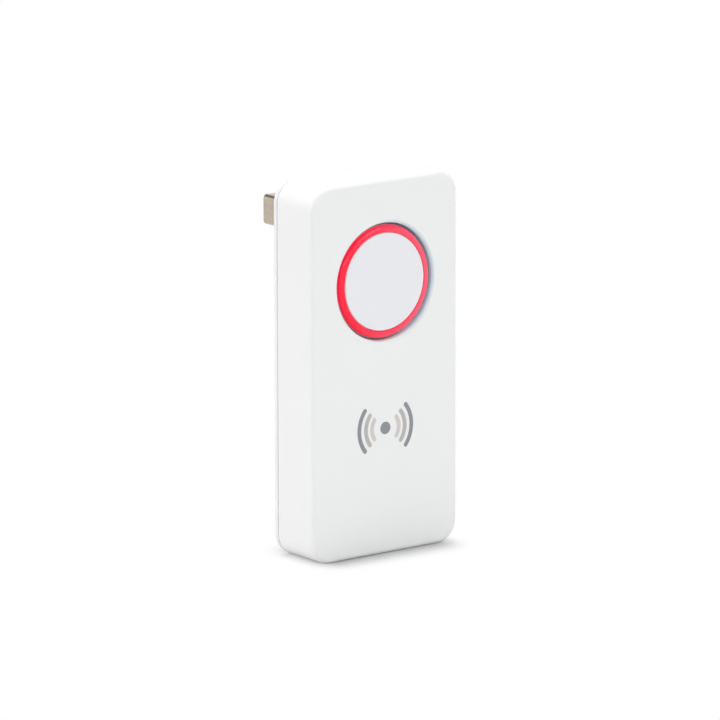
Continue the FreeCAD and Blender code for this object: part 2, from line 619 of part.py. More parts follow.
TAB_CENTRE = "(Dims.plug_width / 2 - Dims.plug_sheet / 2)"
CONTACT_LEVEL = ("(Dims.plug_sheet + Dims.tongue_gap + Dims.tongue_thickness - Dims.contact_thickness"
                 " - Dims.plug_height / 2)")
board = new_body("main_board")
outline = new_sketch(board, "BoardOutline", "XZ_Plane", y=MIDDLE, z=face_offset(BOARD_BACK))
add_rectangle(outline, "Dims.housing_width - 2 * Dims.wall - 2 * Dims.board_gap",
              "Dims.housing_height - 2 * Dims.wall - 2 * Dims.board_gap")
pad(board, "BoardPlate", outline, "Dims.board_thickness")
round_edges(board, "BoardCorners", "Dims.corner_radius - Dims.wall - Dims.board_gap",
            lambda e: straight_along(e, (0, 1, 0)))
holes = new_sketch(board, "BoardHoleCircles", "XZ_Plane", y=MIDDLE, z=face_offset("Dims.board_depth"))
screw_circles(holes, "Dims.screw_radius + Dims.board_hole_gap")
pocket(board, "BoardHoles", holes, "Dims.board_thickness")
slots = new_sketch(board, "TabSlotOutlines", "XZ_Plane", y=PLUG_LEVEL, z=face_offset("Dims.board_depth"))
for side in ("", "-"):
    add_rectangle(slots, "Dims.plug_sheet + 2 * Dims.hole_gap", "Dims.tab_width + 2 * Dims.hole_gap",
                  x=side + TAB_CENTRE)
pocket(board, "TabSlots", slots, "Dims.board_thickness")
tails = new_sketch(board, "TailSlotOutlines", "XZ_Plane", y=PLUG_LEVEL, z=face_offset("Dims.board_depth"))
for side in ("", "-"):
    for place in ("Dims.contact_inner", "Dims.contact_outer"):
        add_rectangle(tails, "Dims.tail_width + 2 * Dims.hole_gap",
                      "Dims.contact_thickness + 2 * Dims.hole_gap", x=side + place,
                      y=CONTACT_LEVEL + " + Dims.contact_thickness / 2")
pocket(board, "TailSlots", tails, "Dims.board_thickness")

# Plug shell: drawn tube of sheet metal with latch windows and solder tabs

SHELL_LENGTH = "(" + REAR + " + Dims.plug_reach - " + BOARD_BACK + ")"
PLUG_TIP = "(" + REAR + " + Dims.plug_reach)"
plug_tip = size["shell_depth"] + size["cover_rim"] + size["plug_reach"]
board_back = size["board_depth"] + size["board_thickness"]
shell = new_body("plug_shell")
outline = new_sketch(shell, "ShellOutline", "XZ_Plane", y=PLUG_LEVEL, z=face_offset(PLUG_TIP))
add_rectangle(outline, "Dims.plug_width", "Dims.plug_height")
pad(shell, "ShellBlock", outline, SHELL_LENGTH)
round_edges(shell, "ShellCorners", "Dims.plug_corner", lambda e: straight_along(e, (0, 1, 0)))
shelled(shell, "ShellHollow", "Dims.plug_sheet", lambda f: lies_at_y(f, plug_tip) or lies_at_y(f, board_back))
plug_side = size["plug_width"] / 2
plug_level = size["housing_height"] - size["plug_drop"]


def on_plug_outside(edge):
    box = edge.BoundBox
    on_side = close(max(abs(box.XMin), abs(box.XMax)), plug_side)
    on_flat = close(box.ZMax, plug_level + size["plug_height"] / 2)
    on_flat = on_flat or close(box.ZMin, plug_level - size["plug_height"] / 2)
    return on_side or on_flat


round_edges(shell, "ShellTip", "Dims.plug_tip_bevel",
            lambda e: lies_at_y(e, plug_tip) and on_plug_outside(e), "Chamfer")
latch = new_sketch(shell, "LatchWindowOutlines", "XY_Plane",
                   y=at_depth(PLUG_TIP + " - Dims.window_setback"), z=PLUG_LEVEL)
for side in ("", "-"):
    add_rectangle(latch, "Dims.window_width", "Dims.window_length", x=side + "Dims.window_spacing / 2")
pocket(shell, "LatchWindows", latch, "Dims.plug_height + 2 * Dims.fit_gap", midplane=True)
tab = new_sketch(shell, "TabOutlines", "XZ_Plane", y=PLUG_LEVEL,
                 z=face_offset(BOARD_BACK + " + Dims.tab_width"))
for side in ("", "-"):
    add_rectangle(tab, "Dims.plug_sheet", "Dims.tab_width", x=side + TAB_CENTRE)
pad(shell, "Tabs", tab, "Dims.tab_width + Dims.board_thickness - Dims.solder_gap")

# Plug insulator: block in the shell's root with a tongue along its lower half, grooved for the contacts

tongue = new_body("plug_tongue")
INNER_WIDTH = "(Dims.plug_width - 2 * Dims.plug_sheet - 2 * Dims.tongue_gap)"
INNER_HEIGHT = "(Dims.plug_height - 2 * Dims.plug_sheet - 2 * Dims.tongue_gap)"
base = new_sketch(tongue, "TongueBaseOutline", "XZ_Plane", y=PLUG_LEVEL,
                  z=face_offset(REAR + " + Dims.tongue_base"))
add_rectangle(base, INNER_WIDTH, INNER_HEIGHT)
pad(tongue, "TongueBase", base, REAR + " + Dims.tongue_base - " + BOARD_BACK)
blade = new_sketch(tongue, "TongueOutline", "XZ_Plane", y=PLUG_LEVEL,
                   z=face_offset(PLUG_TIP + " - Dims.tongue_setback"))
add_rectangle(blade, INNER_WIDTH, "Dims.tongue_thickness",
              y="Dims.tongue_thickness / 2 - " + INNER_HEIGHT + " / 2")
pad(tongue, "TongueBlade", blade, SHELL_LENGTH + " - Dims.tongue_setback")
tongue_reach = size["plug_height"] / 2 - size["plug_sheet"] - size["tongue_gap"]
round_edges(tongue, "TongueCorners", "Dims.plug_corner - Dims.plug_sheet",
            lambda e: straight_along(e, (0, 1, 0)) and close(abs(e.BoundBox.ZMin - plug_level), tongue_reach))
grooves = new_sketch(tongue, "GrooveOutlines", "XZ_Plane", y=PLUG_LEVEL, z=face_offset(BOARD_BACK))
for side in ("", "-"):
    for place in ("Dims.contact_inner", "Dims.contact_outer"):
        add_rectangle(grooves, "Dims.contact_width + 2 * Dims.groove_gap",
                      "Dims.contact_thickness + 2 * Dims.groove_gap", x=side + place,
                      y=CONTACT_LEVEL + " + Dims.contact_thickness / 2")
pocket(tongue, "Grooves", grooves, SHELL_LENGTH + " - Dims.contact_setback + Dims.fit_gap")

# Plug contacts: four strips in the tongue's grooves, each with a narrow tail in the board


def new_box(name, x, y, z, across, deep, up):
    """Box whose low corner is at x, y, z."""
    box = doc.addObject("Part::Box", name)
    box.setExpression("Length", across)
    box.setExpression("Width", deep)
    box.setExpression("Height", up)
    for axis, expression in zip("xyz", (x, y, z)):
        box.setExpression("Placement.Base." + axis, expression)
    return box


def joined(kind, name, pieces):
    """Fusion or compound of pieces, labelled with the node's name."""
    result = doc.addObject("Part::" + kind, name)
    if kind == "Compound":
        result.Links = pieces
    else:
        result.Shapes = pieces
    result.Label = name
    return result


contacts = []
places = [("-Dims.contact_outer", "0"), ("-Dims.contact_inner", "Dims.contact_step"),
          ("Dims.contact_inner", "Dims.contact_step"), ("Dims.contact_outer", "0")]
for number, (place, shorter) in enumerate(places, start=1):
    strip = new_box("ContactStrip%d" % number, place + " - Dims.contact_width / 2",
                    at_depth(BOARD_BACK), PLUG_LEVEL + " + " + CONTACT_LEVEL, "Dims.contact_width",
                    SHELL_LENGTH + " - Dims.contact_setback - " + shorter, "Dims.contact_thickness")
    tail = new_box("ContactTail%d" % number, place + " - Dims.tail_width / 2",
                   at_depth("Dims.board_depth + Dims.solder_gap"), PLUG_LEVEL + " + " + CONTACT_LEVEL,
                   "Dims.tail_width", "Dims.board_thickness - Dims.solder_gap + Dims.tail_width",
                   "Dims.contact_thickness")
    contacts.append(joined("MultiFuse", "Contact%d" % number, [strip, tail]))
contact_group = joined("Compound", "plug_contacts", contacts)

# Radio module: small board with a shield can, the radio chip under it and a quartz crystal.
# It fills the board between the sides' small parts, from its level up to the lower row of power parts.

SUPPLY_ROW = "(" + PLUG_LEVEL + " - Dims.supply_drop)"
LOGIC_ROW = "(" + PLUG_LEVEL + " - Dims.logic_drop)"
MODULE_BACK = "(" + BOARD_BACK + " + Dims.module_thickness)"
MODULE_WIDTH = "(Dims.housing_width - 2 * Dims.module_inset)"
MODULE_HEIGHT = "(" + LOGIC_ROW + " - Dims.module_drop - Dims.module_level)"
MODULE_MIDDLE = "(Dims.module_level + " + MODULE_HEIGHT + " / 2)"
module = new_body("radio_board")
outline = new_sketch(module, "ModuleOutline", "XZ_Plane", y=MODULE_MIDDLE, z=face_offset(MODULE_BACK))
add_rectangle(outline, MODULE_WIDTH, MODULE_HEIGHT)
pad(module, "ModulePlate", outline, "Dims.module_thickness")
notches = new_sketch(module, "ModuleNotchOutlines", "XZ_Plane", y=MODULE_MIDDLE, z=face_offset(BOARD_BACK))
for side in ("", "-"):
    for step in (-2, -1, 0, 1, 2):
        add_rectangle(notches, "2 * Dims.notch_depth", "Dims.notch_width", x=side + MODULE_WIDTH + " / 2",
                      y="%d * Dims.notch_pitch" % step)
pocket(module, "ModuleNotches", notches, "Dims.module_thickness")

CAN_WIDTH = "(" + MODULE_WIDTH + " - 2 * Dims.can_inset)"
CAN_HEIGHT = "(" + MODULE_HEIGHT + " - Dims.can_level - Dims.can_drop)"
CAN_MIDDLE = "(Dims.module_level + Dims.can_level + " + CAN_HEIGHT + " / 2)"
can = new_body("shield_can")
outline = new_sketch(can, "CanOutline", "XZ_Plane", y=CAN_MIDDLE,
                     z=face_offset(MODULE_BACK + " + Dims.can_depth"))
add_rectangle(outline, CAN_WIDTH, CAN_HEIGHT)
pad(can, "CanBlock", outline, "Dims.can_depth")
round_edges(can, "CanCorners", "Dims.can_corner", lambda e: straight_along(e, (0, 1, 0)))
module_back = board_back + size["module_thickness"]
shelled(can, "CanHollow", "Dims.can_sheet", lambda f: lies_at_y(f, module_back))
vents = new_sketch(can, "CanVentOutlines", "XZ_Plane", y=CAN_MIDDLE,
                   z=face_offset(MODULE_BACK + " + Dims.can_depth"))
for step in (-1, 0, 1):
    add_rectangle(vents, "Dims.vent_length", "Dims.vent_width", y="%d * Dims.vent_pitch" % step)
pocket(can, "CanVents", vents, "Dims.can_sheet", reverse=True)

chip = new_box("radio_chip", "-Dims.chip_size / 2", at_depth(MODULE_BACK),
               CAN_MIDDLE + " - Dims.chip_size / 2", "Dims.chip_size", "Dims.chip_height", "Dims.chip_size")
crystal = new_box("quartz_crystal", "-Dims.crystal_offset - Dims.crystal_width / 2", at_depth(MODULE_BACK),
                  "Dims.module_level + Dims.crystal_level", "Dims.crystal_width", "Dims.crystal_depth",
                  "Dims.crystal_height")

# Antenna: folded strip on two legs, slotted from both edges in turn

ANTENNA_MIDDLE = "Dims.antenna_level + Dims.antenna_width / 2"
ANTENNA_TOP = "(" + BOARD_BACK + " + Dims.antenna_rise + Dims.antenna_sheet)"
ANTENNA_LENGTH = "(Dims.housing_width - 2 * Dims.antenna_inset)"
antenna = new_body("antenna_strip")
strip = new_sketch(antenna, "AntennaOutline", "XZ_Plane", y=ANTENNA_MIDDLE, z=face_offset(ANTENNA_TOP))
add_rectangle(strip, ANTENNA_LENGTH, "Dims.antenna_width")
pad(antenna, "AntennaStrip", strip, "Dims.antenna_sheet")
cuts = new_sketch(antenna, "AntennaSlotOutlines", "XZ_Plane", y=ANTENNA_MIDDLE, z=face_offset(ANTENNA_TOP))
for number, step in enumerate((-1.5, -0.5, 0.5, 1.5)):
    lean = "" if number % 2 else "-"
    add_rectangle(cuts, "Dims.antenna_slot", "Dims.antenna_width - Dims.antenna_bridge",
                  x="%s * Dims.antenna_pitch" % step, y=lean + "Dims.antenna_bridge / 2")
pocket(antenna, "AntennaSlots", cuts, "Dims.antenna_sheet", reverse=True)
legs = new_sketch(antenna, "AntennaLegOutlines", "XZ_Plane", y=ANTENNA_MIDDLE, z=face_offset(ANTENNA_TOP))
for side in ("", "-"):
    add_rectangle(legs, "Dims.antenna_sheet", "Dims.antenna_leg",
                  x=side + "(" + ANTENNA_LENGTH + " / 2 - Dims.antenna_sheet / 2)")
pad(antenna, "AntennaLegs", legs, "Dims.antenna_rise + Dims.antenna_sheet")

# Power parts on the back of the board, in two rows below the plug

SIDE = "(Dims.housing_width / 2 - Dims.side_inset)"
EDGE = "(Dims.housing_width / 2 - Dims.edge_inset)"


def on_board(name, middle, level, across, deep, up, depth=BOARD_BACK):
    """Box that sits on the back of the board with its middle at a place across and a level."""
    return new_box(name, "%s - %s / 2" % (middle, across), at_depth(depth), "%s - %s / 2" % (level, up),
                   across, deep, up)


regulator_block = on_board("RegulatorBlock", "0", LOGIC_ROW, "Dims.regulator_width", "Dims.regulator_depth",
                           "Dims.regulator_height")
regulator_tab = on_board("RegulatorTab", "0", LOGIC_ROW + " + Dims.regulator_height / 2",
                         "Dims.regulator_width / 2", "Dims.lead_thickness", "2 * Dims.lead_reach")
leads = [on_board("RegulatorLead%d" % (step + 2), "%d * Dims.regulator_pitch" % step,
                  LOGIC_ROW + " - Dims.regulator_height / 2", "Dims.lead_width", "Dims.lead_thickness",
                  "2 * Dims.lead_reach") for step in (-1, 0, 1)]
regulator = joined("MultiFuse", "voltage_regulator", [regulator_block, regulator_tab] + leads)

chip_leads = []
for side in ("", "-"):
    for step in (-1.5, -0.5, 0.5, 1.5):
        chip_leads.append(on_board("MemoryLead%d" % (len(chip_leads) + 1),
                                   "-" + SIDE + " + %s * Dims.memory_pitch" % step,
                                   LOGIC_ROW + " + " + side + "Dims.memory_height / 2", "Dims.lead_width",
                                   "Dims.lead_thickness", "2 * Dims.lead_reach"))
memory_block = on_board("MemoryBlock", "-" + SIDE, LOGIC_ROW, "Dims.memory_width", "Dims.memory_depth",
                        "Dims.memory_height")
memory = joined("MultiFuse", "memory_chip", [memory_block] + chip_leads)

inductor = new_body("power_inductor")
outline = new_sketch(inductor, "InductorOutline", "XZ_Plane", y=SUPPLY_ROW,
                     z=face_offset(BOARD_BACK + " + Dims.inductor_depth"))
add_rectangle(outline, "Dims.inductor_size", "Dims.inductor_size", x="-" + SIDE)
pad(inductor, "InductorBlock", outline, "Dims.inductor_depth")
round_edges(inductor, "InductorCorners", "Dims.inductor_bevel",
            lambda e: straight_along(e, (0, 1, 0)), "Chamfer")

diode = on_board("surge_diode", "0", SUPPLY_ROW, "Dims.diode_width", "Dims.diode_depth", "Dims.diode_height")
tantalums = [on_board("Tantalum%d" % (number + 1), SIDE, row, "Dims.tantalum_width",
                      "Dims.tantalum_depth", "Dims.tantalum_height")
             for number, row in enumerate((SUPPLY_ROW, LOGIC_ROW))]
tantalum_group = joined("Compound", "storage_capacitors", tantalums)

bypass = []
for side in ("", "-"):
    for step in range(3):
        bypass.append(on_board("Bypass%d" % (len(bypass) + 1), side + EDGE,
                               "Dims.module_level + Dims.bypass_pitch * %s" % (step + 0.5),
                               "Dims.small_width", "Dims.small_depth", "Dims.small_length"))
bypass_group = joined("Compound", "bypass_capacitors", bypass)

resistors = []
for side in ("", "-"):
    for step in range(4):
        resistors.append(on_board("Resistor%d" % (len(resistors) + 1), side + EDGE,
                                  "Dims.module_level + Dims.bypass_pitch * 3 + Dims.resistor_pitch * %s"
                                  % (step + 0.5),
                                  "Dims.small_length", "Dims.resistor_depth", "Dims.small_width"))
resistor_group = joined("Compound", "lamp_resistors", resistors)

# Screws: two pan heads with a cross recess that hold the board to the bosses

screws = new_body("board_screws")
shanks = new_sketch(screws, "ShankCircles", "XZ_Plane", y=MIDDLE, z=face_offset(BOARD_BACK))
screw_circles(shanks, "Dims.screw_radius")
pad(screws, "Shanks", shanks, "Dims.screw_length")
HEAD_BACK = BOARD_BACK + " + Dims.screw_head_height"
heads = new_sketch(screws, "HeadCircles", "XZ_Plane", y=MIDDLE, z=face_offset(HEAD_BACK))
screw_circles(heads, "Dims.screw_head_radius")
pad(screws, "Heads", heads, "Dims.screw_head_height")
head_back = board_back + size["screw_head_height"]
round_edges(screws, "HeadCrowns", "Dims.screw_head_bevel",
            lambda e: is_circle(e, size["screw_head_radius"]) and lies_at_y(e, head_back), "Chamfer")
for name, wide, high in (("CrossSlots", "Dims.cross_length", "Dims.cross_width"),
                         ("CrossSlotsUpright", "Dims.cross_width", "Dims.cross_length")):
    cross = new_sketch(screws, name + "Outlines", "XZ_Plane", y=MIDDLE, z=face_offset(HEAD_BACK))
    for across, up in SCREW_PLACES:
        add_rectangle(cross, wide, high, x=across, y=up)
    pocket(screws, name, cross, "Dims.cross_depth", reverse=True)

# Every node, checked before its file is written

NODES = [
    front, cover, ring, cap, tray, lamps, switch, plunger, board, shell, tongue, contact_group, module, can,
    chip, crystal, antenna, regulator, memory, inductor, diode, tantalum_group, bypass_group, resistor_group,
    screws,
]

doc.recompute()
for item in doc.Objects:
    if "Invalid" in item.State or "Error" in item.State:
        raise RuntimeError("%s failed: %s" % (item.Name, item.State))
for node in NODES:
    if node.Shape.isNull() or not node.Shape.isValid():
        raise RuntimeError("%s has no valid shape" % node.Label)

os.makedirs("parts", exist_ok=True)
for node in NODES:
    node.Shape.exportStep(os.path.join("parts", node.Label + ".step"))
    print(node.Label, len(node.Shape.Solids), round(node.Shape.Volume, 2))
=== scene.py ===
import bmesh
import bpy
import math
from mathutils import Matrix, Vector


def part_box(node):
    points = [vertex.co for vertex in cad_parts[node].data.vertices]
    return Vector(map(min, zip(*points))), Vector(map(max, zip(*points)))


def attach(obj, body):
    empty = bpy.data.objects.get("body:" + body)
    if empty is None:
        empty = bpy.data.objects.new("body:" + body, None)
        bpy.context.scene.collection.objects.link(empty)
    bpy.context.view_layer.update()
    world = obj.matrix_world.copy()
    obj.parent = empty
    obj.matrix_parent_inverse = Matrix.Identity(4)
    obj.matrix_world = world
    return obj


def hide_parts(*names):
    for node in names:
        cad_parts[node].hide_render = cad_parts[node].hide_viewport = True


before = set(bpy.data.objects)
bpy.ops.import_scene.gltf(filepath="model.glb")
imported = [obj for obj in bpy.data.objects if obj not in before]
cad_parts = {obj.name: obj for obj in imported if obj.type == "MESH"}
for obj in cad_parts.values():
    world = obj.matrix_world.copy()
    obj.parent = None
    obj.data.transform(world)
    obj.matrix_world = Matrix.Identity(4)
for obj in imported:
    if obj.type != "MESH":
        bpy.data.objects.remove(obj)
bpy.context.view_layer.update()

# Front shell: the upright cup that shows most of the repeater, one moulding in gloss white styrene plastic.
# Its thick face has the round opening with a rounded lip in front and the seat of the ring's flange behind.
# Two bosses take the board's screws, and the rear cover snaps into four recesses of the side walls.
MM = 0.001
shell_low, shell_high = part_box("front_housing")
ring_low, ring_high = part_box("light_ring")
board_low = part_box("main_board")[0]
cover_low, cover_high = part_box("rear_cover")
screws_low, screws_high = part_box("board_screws")
HOUSING_WIDTH = shell_high.x - shell_low.x
HOUSING_HEIGHT = shell_high.z - shell_low.z
MIDDLE = (shell_low.z + shell_high.z) / 2
FACE = shell_low.y
PARTING = shell_high.y
LIGHT_LEVEL = (ring_low.z + ring_high.z) / 2
INK_THICKNESS = 0.015 * MM
SHELL_FACE = FACE + INK_THICKNESS
FACE_WALL = 2.5 * MM
WALL = 1.6 * MM
CORNER_RADIUS = 3.4 * MM
FRONT_ROUNDING = 0.7 * MM
PARTING_BEVEL = 0.08 * MM
SHADOW_GAP = 0.12 * MM
SHADOW_GAP_DEPTH = 0.5 * MM
HOLE_RADIUS = 8.76 * MM
LIP_ROUNDING = 0.4 * MM
FIT_GAP = 0.05 * MM
SEAT_RADIUS = (ring_high.x - ring_low.x) / 2 + FIT_GAP
SEAT_DEPTH = 1.6 * MM
SNAP_SPACING = 28.0 * MM
SNAP_LENGTH = 6.0 * MM
SNAP_WIDTH = 0.6 * MM
RECESS_DEPTH = 0.25 * MM
LIP_HEIGHT = PARTING - cover_low.y
BOSS_RADIUS = 1.6 * MM
PILOT_RADIUS = 0.72 * MM
PILOT_REACH = 2.35 * MM
SCREW_HEAD_RADIUS = 1.35 * MM
SCREW_ACROSS = screws_high.x - SCREW_HEAD_RADIUS
SCREW_PLACES = [(-SCREW_ACROSS, screws_high.z - SCREW_HEAD_RADIUS),
                (SCREW_ACROSS, screws_low.z + SCREW_HEAD_RADIUS)]
RIB_ACROSS = HOUSING_WIDTH / 2 - 2.6 * MM
RIB_THICKNESS = 1.0 * MM
RIB_TAPER = 0.08
RIB_LOW = shell_low.z + 12.0 * MM
RIB_LENGTH = 30.0 * MM
SHELL_WHITE = (0.84, 0.845, 0.842, 1)
SHELL_ROUGHNESS = 0.24
SHELL_SHADE = 0.012

CORNER_STEPS = 12
ROUND_STEPS = 8
TURN_STEPS = 128
BOSS_STEPS = 32
FLAT_STRIP = 0.15 * MM
SHARP_TURN = math.radians(35)
TOLERANCE = 0.01 * MM


def rounded_outline(width, height, radius, level, marks=()):
    """Upright rectangle with round corners as points across and up. Every size has the same count."""
    across = width / 2 - radius
    up = height / 2 - radius
    points = []
    for side_x, side_z, first_turn in ((1, -1, -90), (1, 1, 0), (-1, 1, 90), (-1, -1, 180)):
        for step in range(CORNER_STEPS + 1):
            turn = math.radians(first_turn + 90 * step / CORNER_STEPS)
            points.append((side_x * across + radius * math.cos(turn),
                           level + side_z * up + radius * math.sin(turn)))
        if side_x != side_z:
            stops = [FLAT_STRIP - up, *marks, up - FLAT_STRIP]
            points += [(side_x * width / 2, level + side_x * stop) for stop in stops]
        else:
            points += [(side_x * stop, level + side_z * height / 2)
                       for stop in (across - FLAT_STRIP, FLAT_STRIP - across)]
    return points


def circle(radius, across, level):
    turns = [2 * math.pi * step / TURN_STEPS for step in range(TURN_STEPS)]
    return [(across + radius * math.cos(turn), level + radius * math.sin(turn)) for turn in turns]


def arc(depth, inward, radius, first, last):
    """Round stretch of a profile whose points are a depth and a distance inward."""
    turns = [math.radians(first + (last - first) * step / ROUND_STEPS) for step in range(ROUND_STEPS + 1)]
    return [(depth + radius * math.cos(turn), inward + radius * math.sin(turn)) for turn in turns]


def add_loop(mesh, points, depth):
    return [mesh.verts.new((across, depth, up)) for across, up in points]


def join_loops(mesh, *loops):
    for first, second in zip(loops, loops[1:]):
        for i in range(len(first)):
            after = (i + 1) % len(first)
            mesh.faces.new((first[i], first[after], second[after], second[i]))


def fill_flat(mesh, *loops):
    """Flat face inside the first loop, with the other loops as holes in it."""
    edges = []
    for loop in loops:
        for i in range(len(loop)):
            pair = (loop[i - 1], loop[i])
            edges.append(mesh.edges.get(pair) or mesh.edges.new(pair))
    bmesh.ops.triangle_fill(mesh, edges=edges, use_beauty=True)


def turn_profile(mesh, profile, across=0, level=LIGHT_LEVEL, steps=TURN_STEPS):
    """Turns a closed profile of depths and radii round an axis along Y."""
    loops = []
    for depth, radius in profile:
        turns = [2 * math.pi * step / steps for step in range(steps if radius > 0 else 1)]
        points = [(across + radius * math.cos(turn), depth, level + radius * math.sin(turn))
                  for turn in turns]
        loops.append([mesh.verts.new(point) for point in points])
    for first, second in zip(loops, loops[1:] + loops[:1]):
        for i in range(steps):
            after = (i + 1) % steps
            corners = [first[i % len(first)], first[after % len(first)],
                       second[after % len(second)], second[i % len(second)]]
            corners = list(dict.fromkeys(corners))
            if len(corners) > 2:
                mesh.faces.new(corners)


def add_bar(mesh, profile, low, high):
    """Upright bar with a profile of points across and in depth."""
    ends = [[mesh.verts.new((across, depth, up)) for across, depth in profile] for up in (low, high)]
    join_loops(mesh, *ends)
    for end in ends:
        mesh.faces.new(end)


def finished_piece(name, mesh, material):
    """Makes the object, with outward faces, smooth rounded stretches and crisp edges."""
    bmesh.ops.recalc_face_normals(mesh, faces=mesh.faces)
    for face in mesh.faces:
        face.smooth = True
    for edge in mesh.edges:
        edge.smooth = edge.calc_face_angle(0) < SHARP_TURN
    data = bpy.data.meshes.new(name)
    mesh.to_mesh(data)
    mesh.free()
    data.materials.append(material)
    piece = bpy.data.objects.new(name, data)
    bpy.context.collection.objects.link(piece)
    return piece


def new_group(name, inputs, outputs):
    """Shader group with named sockets, and its input and output nodes."""
    group = bpy.data.node_groups.new(name, "ShaderNodeTree")
    for label, kind, value in inputs:
        socket = group.interface.new_socket(label, in_out="INPUT", socket_type="NodeSocket" + kind)
        socket.default_value = value
    for label, kind in outputs:
        group.interface.new_socket(label, in_out="OUTPUT", socket_type="NodeSocket" + kind)
    return group, group.nodes.new("NodeGroupInput"), group.nodes.new("NodeGroupOutput")


def give(tree, socket, value):
    """Sets an input to a number, vector, colour or object, or links it to another node's output."""
    if isinstance(value, bpy.types.NodeSocket):
        tree.links.new(value, socket)
    else:
        socket.default_value = value


def add_node(tree, kind, **inputs):
    """Node whose inputs are given by their names."""
    node = tree.nodes.new(kind)
    for label, value in inputs.items():
        give(tree, node.inputs[label.replace("_", " ")], value)
    return node


def calculate(tree, operation, *values, clamp=False):
    """Math node on numbers and sockets. It returns its result's socket."""
    node = tree.nodes.new("ShaderNodeMath")
    node.operation = operation
    node.use_clamp = clamp
    for socket, value in zip(node.inputs, values):
        give(tree, socket, value)
    return node.outputs[0]


def distance(tree, across, along):
    """Length of the slope whose two legs stand at right angles."""
    squares = [calculate(tree, "MULTIPLY", leg, leg) for leg in (across, along)]
    return calculate(tree, "SQRT", calculate(tree, "ADD", *squares))


def mixed_colour(tree, share, first, second):
    """The first colour where the share is 0, the second where it is 1."""
    mix = tree.nodes.new("ShaderNodeMix")
    mix.data_type = "RGBA"
    for label, value in (("Factor", share), ("A", first), ("B", second)):
        give(tree, mix.inputs[label], value)
    return mix.outputs["Result"]


def ramp_colour(tree, share, marks):
    """Colour from a ramp whose marks run from 0 to 1."""
    ramp = tree.nodes.new("ShaderNodeValToRGB")
    stops = ramp.color_ramp.elements
    stops[0].color = marks[0][1]
    stops[1].color = marks[-1][1]
    for stop, colour in marks[1:-1]:
        stops.new(stop).color = colour
    tree.links.new(share, ramp.inputs[0])
    return ramp.outputs["Color"]


def add_noise(tree, coordinates, scale, detail=2.0):
    """Noise with a scale in features to the metre."""
    return add_node(tree, "ShaderNodeTexNoise", Vector=coordinates, Scale=scale, Detail=detail).outputs["Fac"]


def shaded(tree, colour, darker):
    """The colour, made darker by a share that changes over the surface."""
    value = calculate(tree, "SUBTRACT", 1.0, darker)
    return add_node(tree, "ShaderNodeHueSaturation", Color=colour, Value=value).outputs["Color"]


# The slight drift of colour and gloss, and the fine waviness, that every moulding has
PATCHES_TO_METRE = 90.0
MARKS_TO_METRE = 420.0
moulded_surface, given, result = new_group(
    "moulded surface",
    [("Colour", "Color", (0.8, 0.8, 0.8, 1)), ("Shade", "Float", 0.03), ("Roughness", "Float", 0.3),
     ("Drift", "Float", 0.06), ("Grain", "Float", 700.0)],
    [("Colour", "Color"), ("Roughness", "Float"), ("Height", "Float")])
place = moulded_surface.nodes.new("ShaderNodeTexCoord").outputs["Object"]
patches = add_noise(moulded_surface, place, PATCHES_TO_METRE)
handling = add_noise(moulded_surface, place, MARKS_TO_METRE, detail=4.0)
waviness = add_noise(moulded_surface, place, given.outputs["Grain"], detail=3.0)
darker = calculate(moulded_surface, "MULTIPLY", patches, given.outputs["Shade"])
gloss_drift = calculate(moulded_surface, "MULTIPLY", calculate(moulded_surface, "SUBTRACT", handling, 0.5),
                        given.outputs["Drift"])
drifting_gloss = calculate(moulded_surface, "ADD", given.outputs["Roughness"], gloss_drift, clamp=True)
give(moulded_surface, result.inputs["Colour"], shaded(moulded_surface, given.outputs["Colour"], darker))
give(moulded_surface, result.inputs["Roughness"], drifting_gloss)
give(moulded_surface, result.inputs["Height"], waviness)


def surfaced_material(name, group, values, bump_depth, metallic=0.0, **settings):
    """Material whose colour, roughness and bump come from a surface group with its own values."""
    material = bpy.data.materials.new(name)
    material.use_nodes = True
    tree = material.node_tree
    shader = tree.nodes["Principled BSDF"]
    surface = tree.nodes.new("ShaderNodeGroup")
    surface.node_tree = group
    for label, value in values.items():
        surface.inputs[label].default_value = value
    bump = add_node(tree, "ShaderNodeBump", Height=surface.outputs["Height"], Distance=bump_depth)
    tree.links.new(surface.outputs["Colour"], shader.inputs["Base Color"])
    tree.links.new(surface.outputs["Roughness"], shader.inputs["Roughness"])
    tree.links.new(bump.outputs["Normal"], shader.inputs["Normal"])
    shader.inputs["Metallic"].default_value = metallic
    for label, value in settings.items():
        shader.inputs[label.replace("_", " ")].default_value = value
    return material


def moulded_plastic(name, colour, roughness, shade=0.03, drift=0.06, grain=700.0, depth=0.003 * MM,
                    **settings):
    values = {"Colour": colour, "Shade": shade, "Roughness": roughness, "Drift": drift, "Grain": grain}
    return surfaced_material(name, moulded_surface, values, depth, **settings)


gloss_white = moulded_plastic("gloss white plastic", SHELL_WHITE, SHELL_ROUGHNESS, shade=SHELL_SHADE)

# The rounded lip of the opening carries a painted shade: painted blue-grey on its right, fading out on the
# face
PAINTED_LIP_SHADES = [(0.0, (0.52, 0.84, 0.92, 1)), (0.25, (0.56, 0.72, 0.78, 1)), (0.55, (0.68, 0.71, 0.74, 1)),
              (1.0, SHELL_WHITE)]
PAINTED_LIP_SHADE_WIDTH = 0.58 * MM
PAINTED_SHADE_SIDE = (0.98, 0.2)
PAINTED_SHADE_SPREAD = (-0.2, 0.7)
white_with_painted_lip_shade = moulded_plastic("gloss white plastic with painted lip shade", SHELL_WHITE, SHELL_ROUGHNESS, shade=SHELL_SHADE)
tree = white_with_painted_lip_shade.node_tree
spot = add_node(tree, "ShaderNodeSeparateXYZ", Vector=tree.nodes.new("ShaderNodeTexCoord").outputs["Object"])
across = spot.outputs["X"]
up = calculate(tree, "SUBTRACT", spot.outputs["Z"], LIGHT_LEVEL)
towards = calculate(tree, "ADD", calculate(tree, "MULTIPLY", across, PAINTED_SHADE_SIDE[0] / HOLE_RADIUS),
                    calculate(tree, "MULTIPLY", up, PAINTED_SHADE_SIDE[1] / HOLE_RADIUS))
